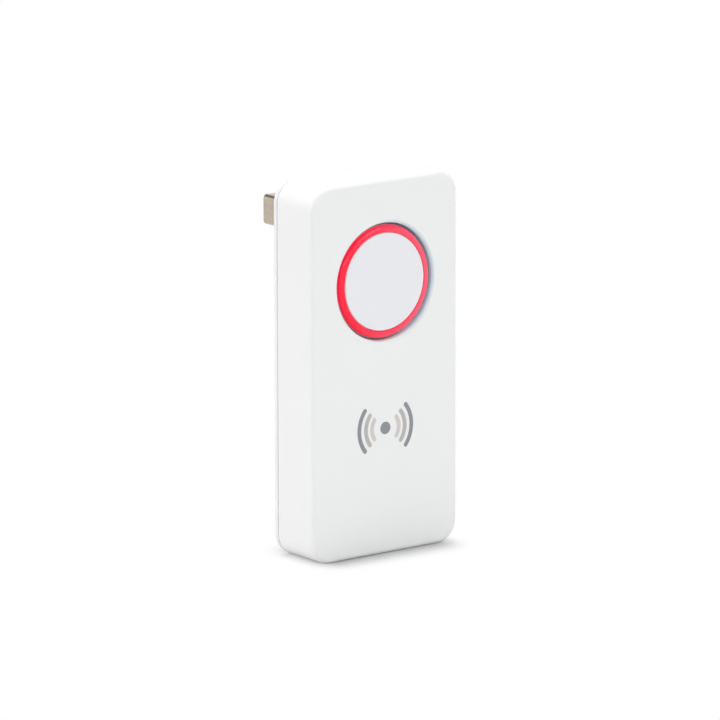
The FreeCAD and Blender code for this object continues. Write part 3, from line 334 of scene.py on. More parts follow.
past_hole = calculate(tree, "SUBTRACT", distance(tree, across, up), HOLE_RADIUS)
painted_lip_shade = ramp_colour(tree, calculate(tree, "DIVIDE", past_hole, PAINTED_LIP_SHADE_WIDTH), PAINTED_LIP_SHADES)
on_side = add_node(tree, "ShaderNodeMapRange", Value=towards, From_Min=PAINTED_SHADE_SPREAD[0],
                   From_Max=PAINTED_SHADE_SPREAD[1])
on_side.interpolation_type = "SMOOTHSTEP"
surface = [node for node in tree.nodes if node.type == "GROUP"][0]
give(tree, surface.inputs["Colour"], mixed_colour(tree, on_side.outputs["Result"], SHELL_WHITE, painted_lip_shade))

SNAP_DEPTH = PARTING - LIP_HEIGHT / 2
RECESS_WIDTH = SNAP_WIDTH + 2 * FIT_GAP
RECESS_LENGTH = SNAP_LENGTH + 2 * FIT_GAP
RECESS_MARKS = [side * SNAP_SPACING / 2 + end * RECESS_LENGTH / 2 for side in (-1, 1) for end in (-1, 1)]
INNER_FACE = FACE + FACE_WALL
BOARD_FRONT = board_low.y

mesh = bmesh.new()
rim = PARTING - SHADOW_GAP
outside = [(PARTING, SHADOW_GAP_DEPTH), (rim, SHADOW_GAP_DEPTH), (rim, PARTING_BEVEL),
           (rim - PARTING_BEVEL, 0), (rim - PARTING_BEVEL - FLAT_STRIP, 0),
           (SHELL_FACE + FRONT_ROUNDING + FLAT_STRIP, 0)]
outside += arc(SHELL_FACE + FRONT_ROUNDING, FRONT_ROUNDING, FRONT_ROUNDING, -90, -180)
outside.append((SHELL_FACE, FRONT_ROUNDING + FLAT_STRIP))
cavity = [(depth, WALL) for depth in
          (INNER_FACE, SNAP_DEPTH - RECESS_WIDTH / 2, SNAP_DEPTH + RECESS_WIDTH / 2, PARTING)]
walls = [add_loop(mesh, rounded_outline(HOUSING_WIDTH - 2 * inset, HOUSING_HEIGHT - 2 * inset,
                                        CORNER_RADIUS - inset, MIDDLE, RECESS_MARKS), depth)
         for depth, inset in cavity + outside]
join_loops(mesh, *walls)
hole = [(SHELL_FACE, HOLE_RADIUS + LIP_ROUNDING + FLAT_STRIP)]
hole += arc(SHELL_FACE + LIP_ROUNDING, HOLE_RADIUS + LIP_ROUNDING, LIP_ROUNDING, 180, 270)
hole += [(FACE + SEAT_DEPTH, HOLE_RADIUS), (FACE + SEAT_DEPTH, SEAT_RADIUS), (INNER_FACE, SEAT_RADIUS)]
bore = [add_loop(mesh, circle(radius, 0, LIGHT_LEVEL), depth) for depth, radius in hole]
join_loops(mesh, *bore)
pilots = []
for across, level in SCREW_PLACES:
    pilot = [add_loop(mesh, circle(PILOT_RADIUS, across, level), depth)
             for depth in (INNER_FACE, BOARD_FRONT - PILOT_REACH)]
    join_loops(mesh, *pilot)
    mesh.faces.new(pilot[-1])
    pilots.append(pilot[0])
fill_flat(mesh, walls[-1], bore[0])
fill_flat(mesh, walls[0], bore[-1], *pilots)


def in_recess(face):
    middle = face.calc_center_median()
    on_side = abs(abs(middle.x) - (HOUSING_WIDTH / 2 - WALL)) < TOLERANCE
    in_depth = abs(middle.y - SNAP_DEPTH) < RECESS_WIDTH / 2
    return on_side and in_depth and abs(abs(middle.z - MIDDLE) - SNAP_SPACING / 2) < TOLERANCE


recesses = bmesh.ops.extrude_discrete_faces(mesh, faces=[face for face in mesh.faces if in_recess(face)])
for face in recesses["faces"]:
    deeper = math.copysign(RECESS_DEPTH, face.calc_center_median().x)
    bmesh.ops.translate(mesh, verts=face.verts, vec=(deeper, 0, 0))
for across, level in SCREW_PLACES:
    turn_profile(mesh, [(BOARD_FRONT, PILOT_RADIUS), (BOARD_FRONT, BOSS_RADIUS),
                        (INNER_FACE - FIT_GAP, BOSS_RADIUS), (INNER_FACE - FIT_GAP, PILOT_RADIUS)],
                 across, level, steps=BOSS_STEPS)
for side in (-1, 1):
    rib = [(-0.5, INNER_FACE - FIT_GAP), (RIB_TAPER - 0.5, BOARD_FRONT), (0.5 - RIB_TAPER, BOARD_FRONT),
           (0.5, INNER_FACE - FIT_GAP)]
    add_bar(mesh, [(side * (RIB_ACROSS + share * RIB_THICKNESS), depth) for share, depth in rib],
            RIB_LOW, RIB_LOW + RIB_LENGTH)
front_shell = finished_piece("front_shell", mesh, white_with_painted_lip_shade)
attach(front_shell, "case")
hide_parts("front_housing")

# Printed symbol: a dot with three arcs to its left and right, the usual sign for a radio signal.
# It is pad-printed on the face in three greys, in a film of ink a few hundredths of a millimetre thick.
SYMBOL_LEVEL = shell_low.z + 19.0 * MM
DOT_RADIUS = 0.93 * MM
STROKE = 0.68 * MM
ARC_SPREAD = 86.0
ARC_STEPS = 72
DOT_STEPS = 64
INK_SINK = 0.01 * MM
WELD_DISTANCE = 0.001 * MM
DARK_GREY = (0.262, 0.268, 0.296, 1)
MIDDLE_GREY = (0.48, 0.455, 0.445, 1)
LIGHT_GREY = (0.62, 0.595, 0.565, 1)
ARCS = [(2.48 * MM, "light grey ink", LIGHT_GREY), (3.6 * MM, "middle grey ink", MIDDLE_GREY),
        (4.84 * MM, "dark grey ink", DARK_GREY)]


def new_geometry_tree(name, inputs):
    """Geometry Nodes tree with named inputs beside its geometry, and its input and output nodes."""
    tree = bpy.data.node_groups.new(name, "GeometryNodeTree")
    tree.interface.new_socket("Geometry", in_out="INPUT", socket_type="NodeSocketGeometry")
    for label, kind in inputs:
        tree.interface.new_socket(label, in_out="INPUT", socket_type="NodeSocket" + kind)
    tree.interface.new_socket("Geometry", in_out="OUTPUT", socket_type="NodeSocketGeometry")
    return tree, tree.nodes.new("NodeGroupInput"), tree.nodes.new("NodeGroupOutput")


def grown_piece(name, points, tree, inputs):
    """Runs a tree on a mesh of points and returns its result as a plain mesh object."""
    source = bpy.data.meshes.new(name)
    source.from_pydata(points, [], [])
    holder = bpy.data.objects.new(name, source)
    bpy.context.collection.objects.link(holder)
    modifier = holder.modifiers.new(name, "NODES")
    modifier.node_group = tree
    for item in tree.interface.items_tree:
        if item.in_out == "INPUT" and item.name in inputs:
            modifier[item.identifier] = inputs[item.name]
    evaluated = holder.evaluated_get(bpy.context.evaluated_depsgraph_get())
    grown = bpy.data.meshes.new_from_object(evaluated)
    bpy.data.objects.remove(holder)
    grown.name = name
    piece = bpy.data.objects.new(name, grown)
    bpy.context.collection.objects.link(piece)
    return piece


# One round-ended arc, bent from a flat strip and set to the right and to the left of the points it is given
arc_pair, given, result = new_geometry_tree(
    "pair of printed arcs", [("Radius", "Float"), ("Stroke", "Float"), ("Spread", "Float"), ("Steps", "Int"),
                             ("Thickness", "Float"), ("Ink", "Material")])
strip = add_node(arc_pair, "GeometryNodeMeshGrid", Size_X=1.0, Size_Y=1.0, Vertices_X=given.outputs["Steps"],
                 Vertices_Y=3)
spot = add_node(arc_pair, "ShaderNodeSeparateXYZ",
                Vector=arc_pair.nodes.new("GeometryNodeInputPosition").outputs[0])
half_stroke = calculate(arc_pair, "MULTIPLY", given.outputs["Stroke"], 0.5)
length = calculate(arc_pair, "MULTIPLY", given.outputs["Radius"], given.outputs["Spread"])
from_end = calculate(arc_pair, "MULTIPLY", calculate(
    arc_pair, "SUBTRACT", 0.5, calculate(arc_pair, "ABSOLUTE", spot.outputs["X"])), length)
strokes_in = calculate(arc_pair, "DIVIDE", from_end, half_stroke)
beyond = calculate(arc_pair, "SUBTRACT", 1.0, strokes_in, clamp=True)
width_share = calculate(arc_pair, "SQRT", calculate(
    arc_pair, "SUBTRACT", 1.0, calculate(arc_pair, "MULTIPLY", beyond, beyond)))
sideways = calculate(arc_pair, "MULTIPLY", spot.outputs["Y"], given.outputs["Stroke"])
reach = calculate(arc_pair, "ADD", given.outputs["Radius"],
                  calculate(arc_pair, "MULTIPLY", sideways, width_share))
turn = calculate(arc_pair, "MULTIPLY", spot.outputs["X"], given.outputs["Spread"])
bent = add_node(arc_pair, "ShaderNodeCombineXYZ",
                X=calculate(arc_pair, "MULTIPLY", reach, calculate(arc_pair, "COSINE", turn)),
                Z=calculate(arc_pair, "MULTIPLY", reach, calculate(arc_pair, "SINE", turn)))
curved = add_node(arc_pair, "GeometryNodeSetPosition", Geometry=strip.outputs["Mesh"],
                  Position=bent.outputs["Vector"])
closed = add_node(arc_pair, "GeometryNodeMergeByDistance", Geometry=curved.outputs["Geometry"],
                  Distance=WELD_DISTANCE)
right = add_node(arc_pair, "GeometryNodeInstanceOnPoints", Points=given.outputs["Geometry"],
                 Instance=closed.outputs["Geometry"])
left = add_node(arc_pair, "GeometryNodeInstanceOnPoints", Points=given.outputs["Geometry"],
                Instance=closed.outputs["Geometry"], Rotation=(0, math.pi, 0))
both = add_node(arc_pair, "GeometryNodeJoinGeometry")
arc_pair.links.new(right.outputs["Instances"], both.inputs["Geometry"])
arc_pair.links.new(left.outputs["Instances"], both.inputs["Geometry"])
flat = add_node(arc_pair, "GeometryNodeRealizeInstances", Geometry=both.outputs["Geometry"])
film = add_node(arc_pair, "GeometryNodeExtrudeMesh", Mesh=flat.outputs["Geometry"], Offset=(0, 1, 0),
                Offset_Scale=given.outputs["Thickness"])
film.inputs["Individual"].default_value = False
sides = add_node(arc_pair, "GeometryNodeJoinGeometry")
arc_pair.links.new(flat.outputs["Geometry"], sides.inputs["Geometry"])
arc_pair.links.new(film.outputs["Mesh"], sides.inputs["Geometry"])
welded = add_node(arc_pair, "GeometryNodeMergeByDistance", Geometry=sides.outputs["Geometry"],
                  Distance=WELD_DISTANCE)
inked = add_node(arc_pair, "GeometryNodeSetMaterial", Geometry=welded.outputs["Geometry"],
                 Material=given.outputs["Ink"])
arc_pair.links.new(inked.outputs["Geometry"], result.inputs["Geometry"])


def outward(piece):
    """Turns the faces of a grown piece outwards."""
    mesh = bmesh.new()
    mesh.from_mesh(piece.data)
    bmesh.ops.recalc_face_normals(mesh, faces=mesh.faces)
    mesh.to_mesh(piece.data)
    mesh.free()


for number, (radius, ink_name, colour) in enumerate(ARCS, start=1):
    ink = moulded_plastic(ink_name, colour, 0.42, shade=0.05, grain=5000.0, depth=0.001 * MM)
    arcs = grown_piece("printed_arcs_%d" % number, [(0, FACE, SYMBOL_LEVEL)], arc_pair,
                       {"Radius": radius, "Stroke": STROKE, "Spread": math.radians(ARC_SPREAD),
                        "Steps": ARC_STEPS, "Thickness": INK_THICKNESS + INK_SINK, "Ink": ink})
    outward(arcs)
    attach(arcs, "case")
mesh = bmesh.new()
ink_back = SHELL_FACE + INK_SINK
turn_profile(mesh, [(FACE, 0), (FACE, DOT_RADIUS), (ink_back, DOT_RADIUS), (ink_back, 0)],
             level=SYMBOL_LEVEL, steps=DOT_STEPS)
printed_dot = finished_piece("printed_dot", mesh, bpy.data.materials["dark grey ink"])
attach(printed_dot, "case")

# Light ring: a moulding in clear red plastic that carries the lamps' light to the face. Its crown slopes down
# outwards. Its red is painted paler towards the right as painted light, and its foot is painted blue-grey as
# painted shade and gives no glow, as less light comes out there. Its flange rests in the seat behind the
# face, and its step keeps the button in.
RING_RADIUS = 8.46 * MM
RING_WIDTH = 1.1 * MM
RING_SHOULDER = 0.75 * MM
RING_BEND = 0.68 * MM
RING_OUTER_BEND = 0.15 * MM
RING_SLOPE = 120
RING_INNER_ROUNDING = 0.15 * MM
RING_STEP_WIDTH = 0.59 * MM
RING_FLANGE_THICKNESS = 0.6 * MM
RING_STEP = 0.35 * MM
FLANGE_RADIUS = (ring_high.x - ring_low.x) / 2
DEEP_RED = (0.93, 0.004, 0.04, 1)
PAINTED_LIGHT_RED = (0.95, 0.085, 0.15, 1)
PAINTED_FOOT_SHADE = (0.45, 0.52, 0.6, 1)
RED_DEPTH = 0.5 * MM
GREY_DEPTH = 0.8 * MM
PAINTED_LIGHT_FROM = -0.6 * RING_RADIUS
RING_WAVINESS = 0.0003 * MM
GLOW = 0.2
NO_GLOW = (0, 0, 0, 1)

ring_front = ring_low.y
ring_inner = RING_RADIUS - RING_WIDTH
flange_front = FACE + SEAT_DEPTH
ring_profile = arc(ring_front + RING_INNER_ROUNDING, ring_inner + RING_INNER_ROUNDING, RING_INNER_ROUNDING,
                   270, 180)
slope = math.radians(RING_SLOPE)
slope_start = Vector((RING_BEND + RING_BEND * math.cos(slope), RING_BEND * math.sin(slope) - RING_SHOULDER))
slope_width = RING_OUTER_BEND * math.sin(slope) - RING_OUTER_BEND - slope_start.y
outer_depth = slope_start.x - slope_width * math.tan(slope) - RING_OUTER_BEND * math.cos(slope)
ring_profile += arc(ring_front + RING_BEND, RING_RADIUS - RING_SHOULDER, RING_BEND, 180, RING_SLOPE)
ring_profile += arc(ring_front + outer_depth, RING_RADIUS - RING_OUTER_BEND, RING_OUTER_BEND, RING_SLOPE, 90)
ring_profile += [(flange_front, RING_RADIUS), (flange_front, FLANGE_RADIUS),
                 (flange_front + RING_FLANGE_THICKNESS, FLANGE_RADIUS),
                 (flange_front + RING_FLANGE_THICKNESS, ring_inner + RING_STEP_WIDTH),
                 (flange_front + RING_STEP, ring_inner + RING_STEP_WIDTH),
                 (flange_front + RING_STEP, ring_inner)]

light_red = surfaced_material(
    "lit red plastic", moulded_surface,
    {"Colour": DEEP_RED, "Shade": 0.08, "Roughness": 0.04, "Drift": 0.02, "Grain": 900.0}, RING_WAVINESS,
    Emission_Strength=GLOW, Specular_IOR_Level=0.4)
tree = light_red.node_tree
spot = add_node(tree, "ShaderNodeSeparateXYZ", Vector=tree.nodes.new("ShaderNodeTexCoord").outputs["Object"])
# Painted light: the red is painted paler towards the right, where the light falls on the ring
painted_lit_side = add_node(tree, "ShaderNodeMapRange", Value=spot.outputs["X"], From_Min=PAINTED_LIGHT_FROM,
                    From_Max=RING_RADIUS)
# Painted shade: below the crown the colour turns blue-grey, and the glow stops there
crown = add_node(tree, "ShaderNodeMapRange", Value=spot.outputs["Y"], From_Min=ring_front + RED_DEPTH,
                 From_Max=ring_front + GREY_DEPTH, To_Min=1.0, To_Max=0.0)
red_and_painted_light = mixed_colour(tree, painted_lit_side.outputs["Result"], DEEP_RED, PAINTED_LIGHT_RED)
surface = [node for node in tree.nodes if node.type == "GROUP"][0]
give(tree, surface.inputs["Colour"], mixed_colour(tree, crown.outputs["Result"], PAINTED_FOOT_SHADE, red_and_painted_light))
give(tree, tree.nodes["Principled BSDF"].inputs["Emission Color"],
     mixed_colour(tree, crown.outputs["Result"], NO_GLOW, surface.outputs["Colour"]))

mesh = bmesh.new()
turn_profile(mesh, ring_profile)
red_ring = finished_piece("red_light_ring", mesh, light_red)
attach(red_ring, "case")
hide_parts("light_ring")

# Button: a shallow white cup whose flat face fills the ring, with a thin gap round it.
# A flange behind the ring's step keeps it in, and the stem in its middle rests on the switch.
cap_low, cap_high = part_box("button_cap")
CAP_FLANGE_RADIUS = (cap_high.x - cap_low.x) / 2
CAP_GAP = 0.05 * MM
CAP_RADIUS = ring_inner - CAP_GAP
CAP_ROUNDING = 0.25 * MM
CAP_FACE = 1.0 * MM
CAP_SKIRT = 0.84 * MM
CAP_FLANGE_THICKNESS = 0.4 * MM
CAP_STEM_RADIUS = 1.3 * MM
CAP_WHITE = (0.805, 0.81, 0.842, 1)

cap_profile = [(cap_low.y, 0), (cap_low.y, CAP_RADIUS - CAP_ROUNDING - FLAT_STRIP)]
cap_profile += arc(cap_low.y + CAP_ROUNDING, CAP_RADIUS - CAP_ROUNDING, CAP_ROUNDING, 180, 90)
cap_profile += [(cap_high.y - CAP_FLANGE_THICKNESS, CAP_RADIUS),
                (cap_high.y - CAP_FLANGE_THICKNESS, CAP_FLANGE_RADIUS),
                (cap_high.y, CAP_FLANGE_RADIUS), (cap_high.y, CAP_RADIUS - CAP_SKIRT),
                (cap_low.y + CAP_FACE, CAP_RADIUS - CAP_SKIRT), (cap_low.y + CAP_FACE, CAP_STEM_RADIUS),
                (cap_high.y, CAP_STEM_RADIUS), (cap_high.y, 0)]
satin_white = moulded_plastic("satin white plastic", CAP_WHITE, 0.36, shade=0.012, grain=2600.0)
mesh = bmesh.new()
turn_profile(mesh, cap_profile)
button = finished_piece("button", mesh, satin_white)
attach(button, "button")
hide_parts("button_cap")


def dress(material, *nodes):
    """Gives carried-over CAD nodes their finish."""
    for node in nodes:
        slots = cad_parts[node].data.materials
        slots.clear()
        slots.append(material)


# Light tray: a matt white channel under the ring that keeps the lamps' light in it.
# It is clamped between the ring's flange and the board, with a window round each lamp.
MATT_WHITE = (0.8, 0.8, 0.78, 1)
dress(moulded_plastic("matt white plastic", MATT_WHITE, 0.55, grain=1500.0, depth=0.006 * MM), "light_tray")

# Main board: glass-fibre board under green solder resist, screwed to the shell's two bosses.
# The copper tracks show through the resist as a lighter green.
TRACKS_TO_METRE = 420.0
TRACK_EDGE = 0.42
WEAVE_TO_METRE = 3200.0
WEAVE_SHADE = 0.25
WEAVE_ROUGHNESS = 0.15
WEAVE_HEIGHT = 0.3
BOARD_RELIEF = 0.02 * MM
board_green, given, result = new_group(
    "solder resist",
    [("Colour", "Color", (0.02, 0.16, 0.06, 1)), ("Track Colour", "Color", (0.06, 0.3, 0.12, 1)),
     ("Tracks", "Float", TRACKS_TO_METRE), ("Roughness", "Float", 0.3)],
    [("Colour", "Color"), ("Roughness", "Float"), ("Height", "Float")])
place = board_green.nodes.new("ShaderNodeTexCoord").outputs["Object"]
flat_place = add_node(board_green, "ShaderNodeVectorMath", Vector=place)
flat_place.operation = "MULTIPLY"
flat_place.inputs[1].default_value = (1, 0, 1)
cells = add_node(board_green, "ShaderNodeTexVoronoi", Vector=flat_place.outputs[0],
                 Scale=given.outputs["Tracks"])
cells.distance = "CHEBYCHEV"
cells.feature = "F1"
copper = calculate(board_green, "GREATER_THAN", cells.outputs["Distance"], TRACK_EDGE)
greens = mixed_colour(board_green, copper, given.outputs["Colour"], given.outputs["Track Colour"])
weave = add_noise(board_green, flat_place.outputs[0], WEAVE_TO_METRE)
woven_shade, woven_roughness, woven_height = [calculate(board_green, "MULTIPLY", weave, share)
                                          for share in (WEAVE_SHADE, WEAVE_ROUGHNESS, WEAVE_HEIGHT)]
give(board_green, result.inputs["Colour"], shaded(board_green, greens, woven_shade))
give(board_green, result.inputs["Roughness"],
     calculate(board_green, "ADD", given.outputs["Roughness"], woven_roughness))
give(board_green, result.inputs["Height"], calculate(board_green, "ADD", copper, woven_height))
dress(surfaced_material("green board", board_green, {"Tracks": TRACKS_TO_METRE}, BOARD_RELIEF), "main_board")

# Board screws: two zinc-plated cross-head screws that cut their own thread in the shell's bosses.
# Turning and plating leave fine rings and a slightly uneven shine.
DRAWN_LINES = (5000.0, 120.0, 5000.0)
STAINS_TO_METRE = 300.0
drawn_sheet, given, result = new_group(
    "drawn metal",
    [("Colour", "Color", (0.6, 0.6, 0.6, 1)), ("Shade", "Float", 0.2), ("Roughness", "Float", 0.3),
     ("Drift", "Float", 0.15), ("Lines", "Vector", DRAWN_LINES)],
    [("Colour", "Color"), ("Roughness", "Float"), ("Height", "Float")])
place = drawn_sheet.nodes.new("ShaderNodeTexCoord").outputs["Object"]
stretched = add_node(drawn_sheet, "ShaderNodeVectorMath", Vector=place)
stretched.operation = "MULTIPLY"
drawn_sheet.links.new(given.outputs["Lines"], stretched.inputs[1])
lines = add_noise(drawn_sheet, stretched.outputs[0], 1.0, detail=3.0)
stains = add_noise(drawn_sheet, place, STAINS_TO_METRE)
darker = calculate(drawn_sheet, "MULTIPLY", calculate(drawn_sheet, "MULTIPLY", lines, stains),
                   given.outputs["Shade"])
gloss_drift = calculate(drawn_sheet, "MULTIPLY", calculate(drawn_sheet, "SUBTRACT", lines, 0.5),
                        given.outputs["Drift"])
drifting_gloss = calculate(drawn_sheet, "ADD", given.outputs["Roughness"], gloss_drift, clamp=True)
give(drawn_sheet, result.inputs["Colour"], shaded(drawn_sheet, given.outputs["Colour"], darker))
give(drawn_sheet, result.inputs["Roughness"], drifting_gloss)
give(drawn_sheet, result.inputs["Height"], lines)


def plated_metal(name, colour, roughness, lines=DRAWN_LINES, shade=0.2, depth=0.001 * MM):
    values = {"Colour": colour, "Shade": shade, "Roughness": roughness, "Lines": lines}
    return surfaced_material(name, drawn_sheet, values, depth, metallic=1.0)


zinc = plated_metal("zinc-plated steel", (0.62, 0.63, 0.64, 1), 0.32, lines=(900.0, 900.0, 900.0))
dress(zinc, "board_screws")

# Lamps: a ring of eight small surface-mounted lamps, white packages with a yellow window in front.
# The windows are cast resin domes, low enough to clear the tray.
LENS_RADIUS = 0.3 * MM
LENS_HEIGHT = 0.08 * MM
LENS_DOME = [(1.0, 0.0), (0.9, 0.5), (0.4, 0.85), (0.0, 1.0)]
LENS_STEPS = 20
MERGE_DISTANCE = 0.0005 * MM


def solids_of(node):
    """Boxes of a node's separate solids, found in a merged copy of its mesh."""
    copy = bmesh.new()
    copy.from_mesh(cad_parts[node].data)
    bmesh.ops.remove_doubles(copy, verts=copy.verts, dist=MERGE_DISTANCE)
    boxes = []
    waiting = set(copy.verts)
    while waiting:
        group = []
        edge_of_group = [waiting.pop()]
        while edge_of_group:
            corner = edge_of_group.pop()
            group.append(corner.co.copy())
            neighbours = {edge.other_vert(corner) for edge in corner.link_edges} & waiting
            waiting -= neighbours
            edge_of_group += neighbours
        low = Vector([min(point[axis] for point in group) for axis in range(3)])
        high = Vector([max(point[axis] for point in group) for axis in range(3)])
        boxes.append((low, high))
    copy.free()
    return sorted(boxes, key=lambda box: tuple(box[0]))


set_pieces, given, result = new_geometry_tree(
    "like pieces at points", [("Piece", "Object"), ("Finish", "Material")])
shape = add_node(set_pieces, "GeometryNodeObjectInfo", Object=given.outputs["Piece"])
copies = add_node(set_pieces, "GeometryNodeInstanceOnPoints", Points=given.outputs["Geometry"],
                  Instance=shape.outputs["Geometry"])
real = add_node(set_pieces, "GeometryNodeRealizeInstances", Geometry=copies.outputs["Instances"])
finished = add_node(set_pieces, "GeometryNodeSetMaterial", Geometry=real.outputs["Geometry"],
                    Material=given.outputs["Finish"])
set_pieces.links.new(finished.outputs["Geometry"], result.inputs["Geometry"])


def add_like_pieces(name, mesh, material, points):
    """Sets one small shape at every point, as a single piece on the case."""
    pattern = finished_piece(name + "_pattern", mesh, material)
    piece = grown_piece(name, points, set_pieces, {"Piece": pattern, "Finish": material})
    bpy.data.objects.remove(pattern)
    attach(piece, "case")


dress(moulded_plastic("lamp package", (0.82, 0.8, 0.74, 1), 0.45), "ring_lamps")
lamp_resin = moulded_plastic("yellow lamp resin", (0.85, 0.6, 0.08, 1), 0.2, shade=0.1)
lens = [(-LENS_HEIGHT * height, LENS_RADIUS * width) for height, width in LENS_DOME]
lens += [(LENS_HEIGHT / 2, LENS_RADIUS), (LENS_HEIGHT / 2, 0)]
mesh = bmesh.new()
turn_profile(mesh, lens, level=0, steps=LENS_STEPS)
lamp_fronts = [Vector(((low.x + high.x) / 2, low.y, (low.z + high.z) / 2))
               for low, high in solids_of("ring_lamps")]
add_like_pieces("lamp_windows", mesh, lamp_resin, lamp_fronts)

# Push switch: a square black body on the board with a grey plunger that the button's stem rests on.
# Both are moulded in heat-proof resin, finely matt.
black_resin = moulded_plastic("matt black resin", (0.022, 0.022, 0.025, 1), 0.5, shade=0.3, grain=6000.0)
dress(black_resin, "switch_body")
dress(moulded_plastic("grey resin", (0.3, 0.3, 0.31, 1), 0.4, grain=3000.0), "switch_plunger")

# Plug: a flat tube of nickel-plated sheet round a white insulator, with four gilded strips on its tongue.
# The sheet is rounded where it is bent, and rolling it leaves fine lines along the plug.
shell_plug_low, shell_plug_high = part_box("plug_shell")
NICKEL = (0.585, 0.5, 0.395, 1)
dress(plated_metal("warm nickel plate", NICKEL, 0.19, shade=0.55), "plug_shell")
dress(moulded_plastic("white insulator", MATT_WHITE, 0.4), "plug_tongue")
dress(plated_metal("gold flash", (0.83, 0.58, 0.2, 1), 0.22, shade=0.1), "plug_contacts")

# Radio module: a small green board soldered to the main one by its notched edges, with a tinned shield can
# over the radio chip and a quartz crystal in its metal cover beside it.
tinned = plated_metal("tinned sheet", (0.68, 0.67, 0.64, 1), 0.3, lines=(1500.0, 1500.0, 300.0))
dark_green = {"Colour": (0.012, 0.09, 0.05, 1), "Track Colour": (0.03, 0.17, 0.09, 1), "Tracks": 640.0}
dress(surfaced_material("dark green board", board_green, dark_green, BOARD_RELIEF), "radio_board")
dress(black_resin, "radio_chip")
dress(tinned, "shield_can", "quartz_crystal")

# Antenna: a strip of tinned sheet on two legs, cut from both edges in turn so that the current runs in folds.
dress(tinned, "antenna_strip")

# Power and logic parts: regulator, memory chip, inductor and surge diode, in two rows on the back of the
# board. They are black resin packages, and a pressed ferrite inductor.
dress(black_resin, "voltage_regulator", "memory_chip", "surge_diode")
ferrite = moulded_plastic("pressed ferrite", (0.05, 0.05, 0.055, 1), 0.6, shade=0.4, grain=9000.0,
                          depth=0.01 * MM)
dress(ferrite, "power_inductor")

# Capacitors and resistors: two yellow tantalum blocks and two columns of small chips at the board's edges.
# Each chip has a tinned cap on both ends that the solder wets.
CAP_LENGTH = 0.35 * MM
CAP_PROUD = 0.015 * MM
CAP_BEVEL = 0.03 * MM
tantalum_resin = moulded_plastic("yellow tantalum resin", (0.66, 0.4, 0.06, 1), 0.42, shade=0.1)
tan_ceramic = moulded_plastic("tan ceramic", (0.42, 0.28, 0.15, 1), 0.5, shade=0.15, grain=8000.0)
dress(tantalum_resin, "storage_capacitors")
dress(tan_ceramic, "bypass_capacitors")
dress(moulded_plastic("glazed black ceramic", (0.02, 0.02, 0.022, 1), 0.3, shade=0.3), "lamp_resistors")


def end_cap(width, depth, length):
    """Bevelled sleeve over one end of a chip, centred on the origin."""
    mesh = bmesh.new()
    bmesh.ops.create_cube(mesh, size=1.0, matrix=Matrix.Diagonal((length, depth, width, 1)))
    bmesh.ops.bevel(mesh, geom=mesh.edges[:], offset=CAP_BEVEL, segments=2, affect="EDGES")
    return mesh


for node in ("bypass_capacitors", "lamp_resistors"):
    boxes = solids_of(node)
    low, high = boxes[0]
    along_x = high.x - low.x > high.z - low.z
    length, width = (high.x - low.x, high.z - low.z) if along_x else (high.z - low.z, high.x - low.x)
    points = []
    for low, high in boxes:
        middle = (low + high) / 2
        for end in (-1, 1):
            shift = end * ((length - CAP_LENGTH) / 2 + CAP_PROUD)
            points.append(middle + (Vector((shift, 0, 0)) if along_x else Vector((0, 0, shift))))
    mesh = end_cap(width + 2 * CAP_PROUD, high.y - low.y + 2 * CAP_PROUD, CAP_LENGTH)
    if not along_x:
        bmesh.ops.rotate(mesh, verts=mesh.verts, matrix=Matrix.Rotation(math.pi / 2, 3, "Y"))
    add_like_pieces(node + "_ends", mesh, tinned, points)

# Rear cover: a plate in the same gloss white, with a lip that snaps into the shell by four beads.
# Its rim shows behind the thin groove of the parting line, and the plug comes out through its opening.
COVER_ROUNDING = 0.3 * MM
COVER_LIP_GAP = 0.1 * MM
COVER_LIP_THICKNESS = 0.8 * MM
OPENING_GAP = 0.1 * MM
OPENING_CORNER = 0.72 * MM
SNAP_HEIGHT = 0.3 * MM
BEAD_STEP = 30
BACK = cover_high.y

plug_level = (shell_plug_low.z + shell_plug_high.z) / 2
opening_width = shell_plug_high.x - shell_plug_low.x + 2 * OPENING_GAP
opening_height = shell_plug_high.z - shell_plug_low.z + 2 * OPENING_GAP
lip_outside = WALL + COVER_LIP_GAP
lip_inside = lip_outside + COVER_LIP_THICKNESS
cover = [(PARTING, lip_inside), (cover_low.y, lip_inside), (cover_low.y, lip_outside),
         (PARTING, lip_outside), (PARTING, PARTING_BEVEL), (PARTING + PARTING_BEVEL, 0),
         (PARTING + PARTING_BEVEL + FLAT_STRIP / 2, 0)]
cover += arc(BACK - COVER_ROUNDING, COVER_ROUNDING, COVER_ROUNDING, -90, 0)
cover.append((BACK, COVER_ROUNDING + FLAT_STRIP))
mesh = bmesh.new()
rims = [add_loop(mesh, rounded_outline(HOUSING_WIDTH - 2 * inset, HOUSING_HEIGHT - 2 * inset,
                                       CORNER_RADIUS - inset, MIDDLE), depth) for depth, inset in cover]
join_loops(mesh, *rims)
opening = [add_loop(mesh, rounded_outline(opening_width, opening_height, OPENING_CORNER, plug_level), depth)
           for depth in (BACK, PARTING)]
join_loops(mesh, *opening)
fill_flat(mesh, rims[-1], opening[0])
fill_flat(mesh, rims[0], opening[1])
bead_root = HOUSING_WIDTH / 2 - lip_outside
bead_turns = [math.radians(turn) for turn in range(-90, 91, BEAD_STEP)]
for side in (-1, 1):
    bead = [(side * (bead_root - FIT_GAP), SNAP_DEPTH - SNAP_WIDTH / 2)]
    bead += [(side * (bead_root + SNAP_HEIGHT * math.cos(turn)), SNAP_DEPTH + SNAP_WIDTH / 2 * math.sin(turn))
             for turn in bead_turns]
    bead.append((side * (bead_root - FIT_GAP), SNAP_DEPTH + SNAP_WIDTH / 2))
    for end in (-1, 1):
        middle = MIDDLE + end * SNAP_SPACING / 2
        add_bar(mesh, bead, middle - SNAP_LENGTH / 2, middle + SNAP_LENGTH / 2)
back_cover = finished_piece("back_cover", mesh, gloss_white)
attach(back_cover, "case")
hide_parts("rear_cover")
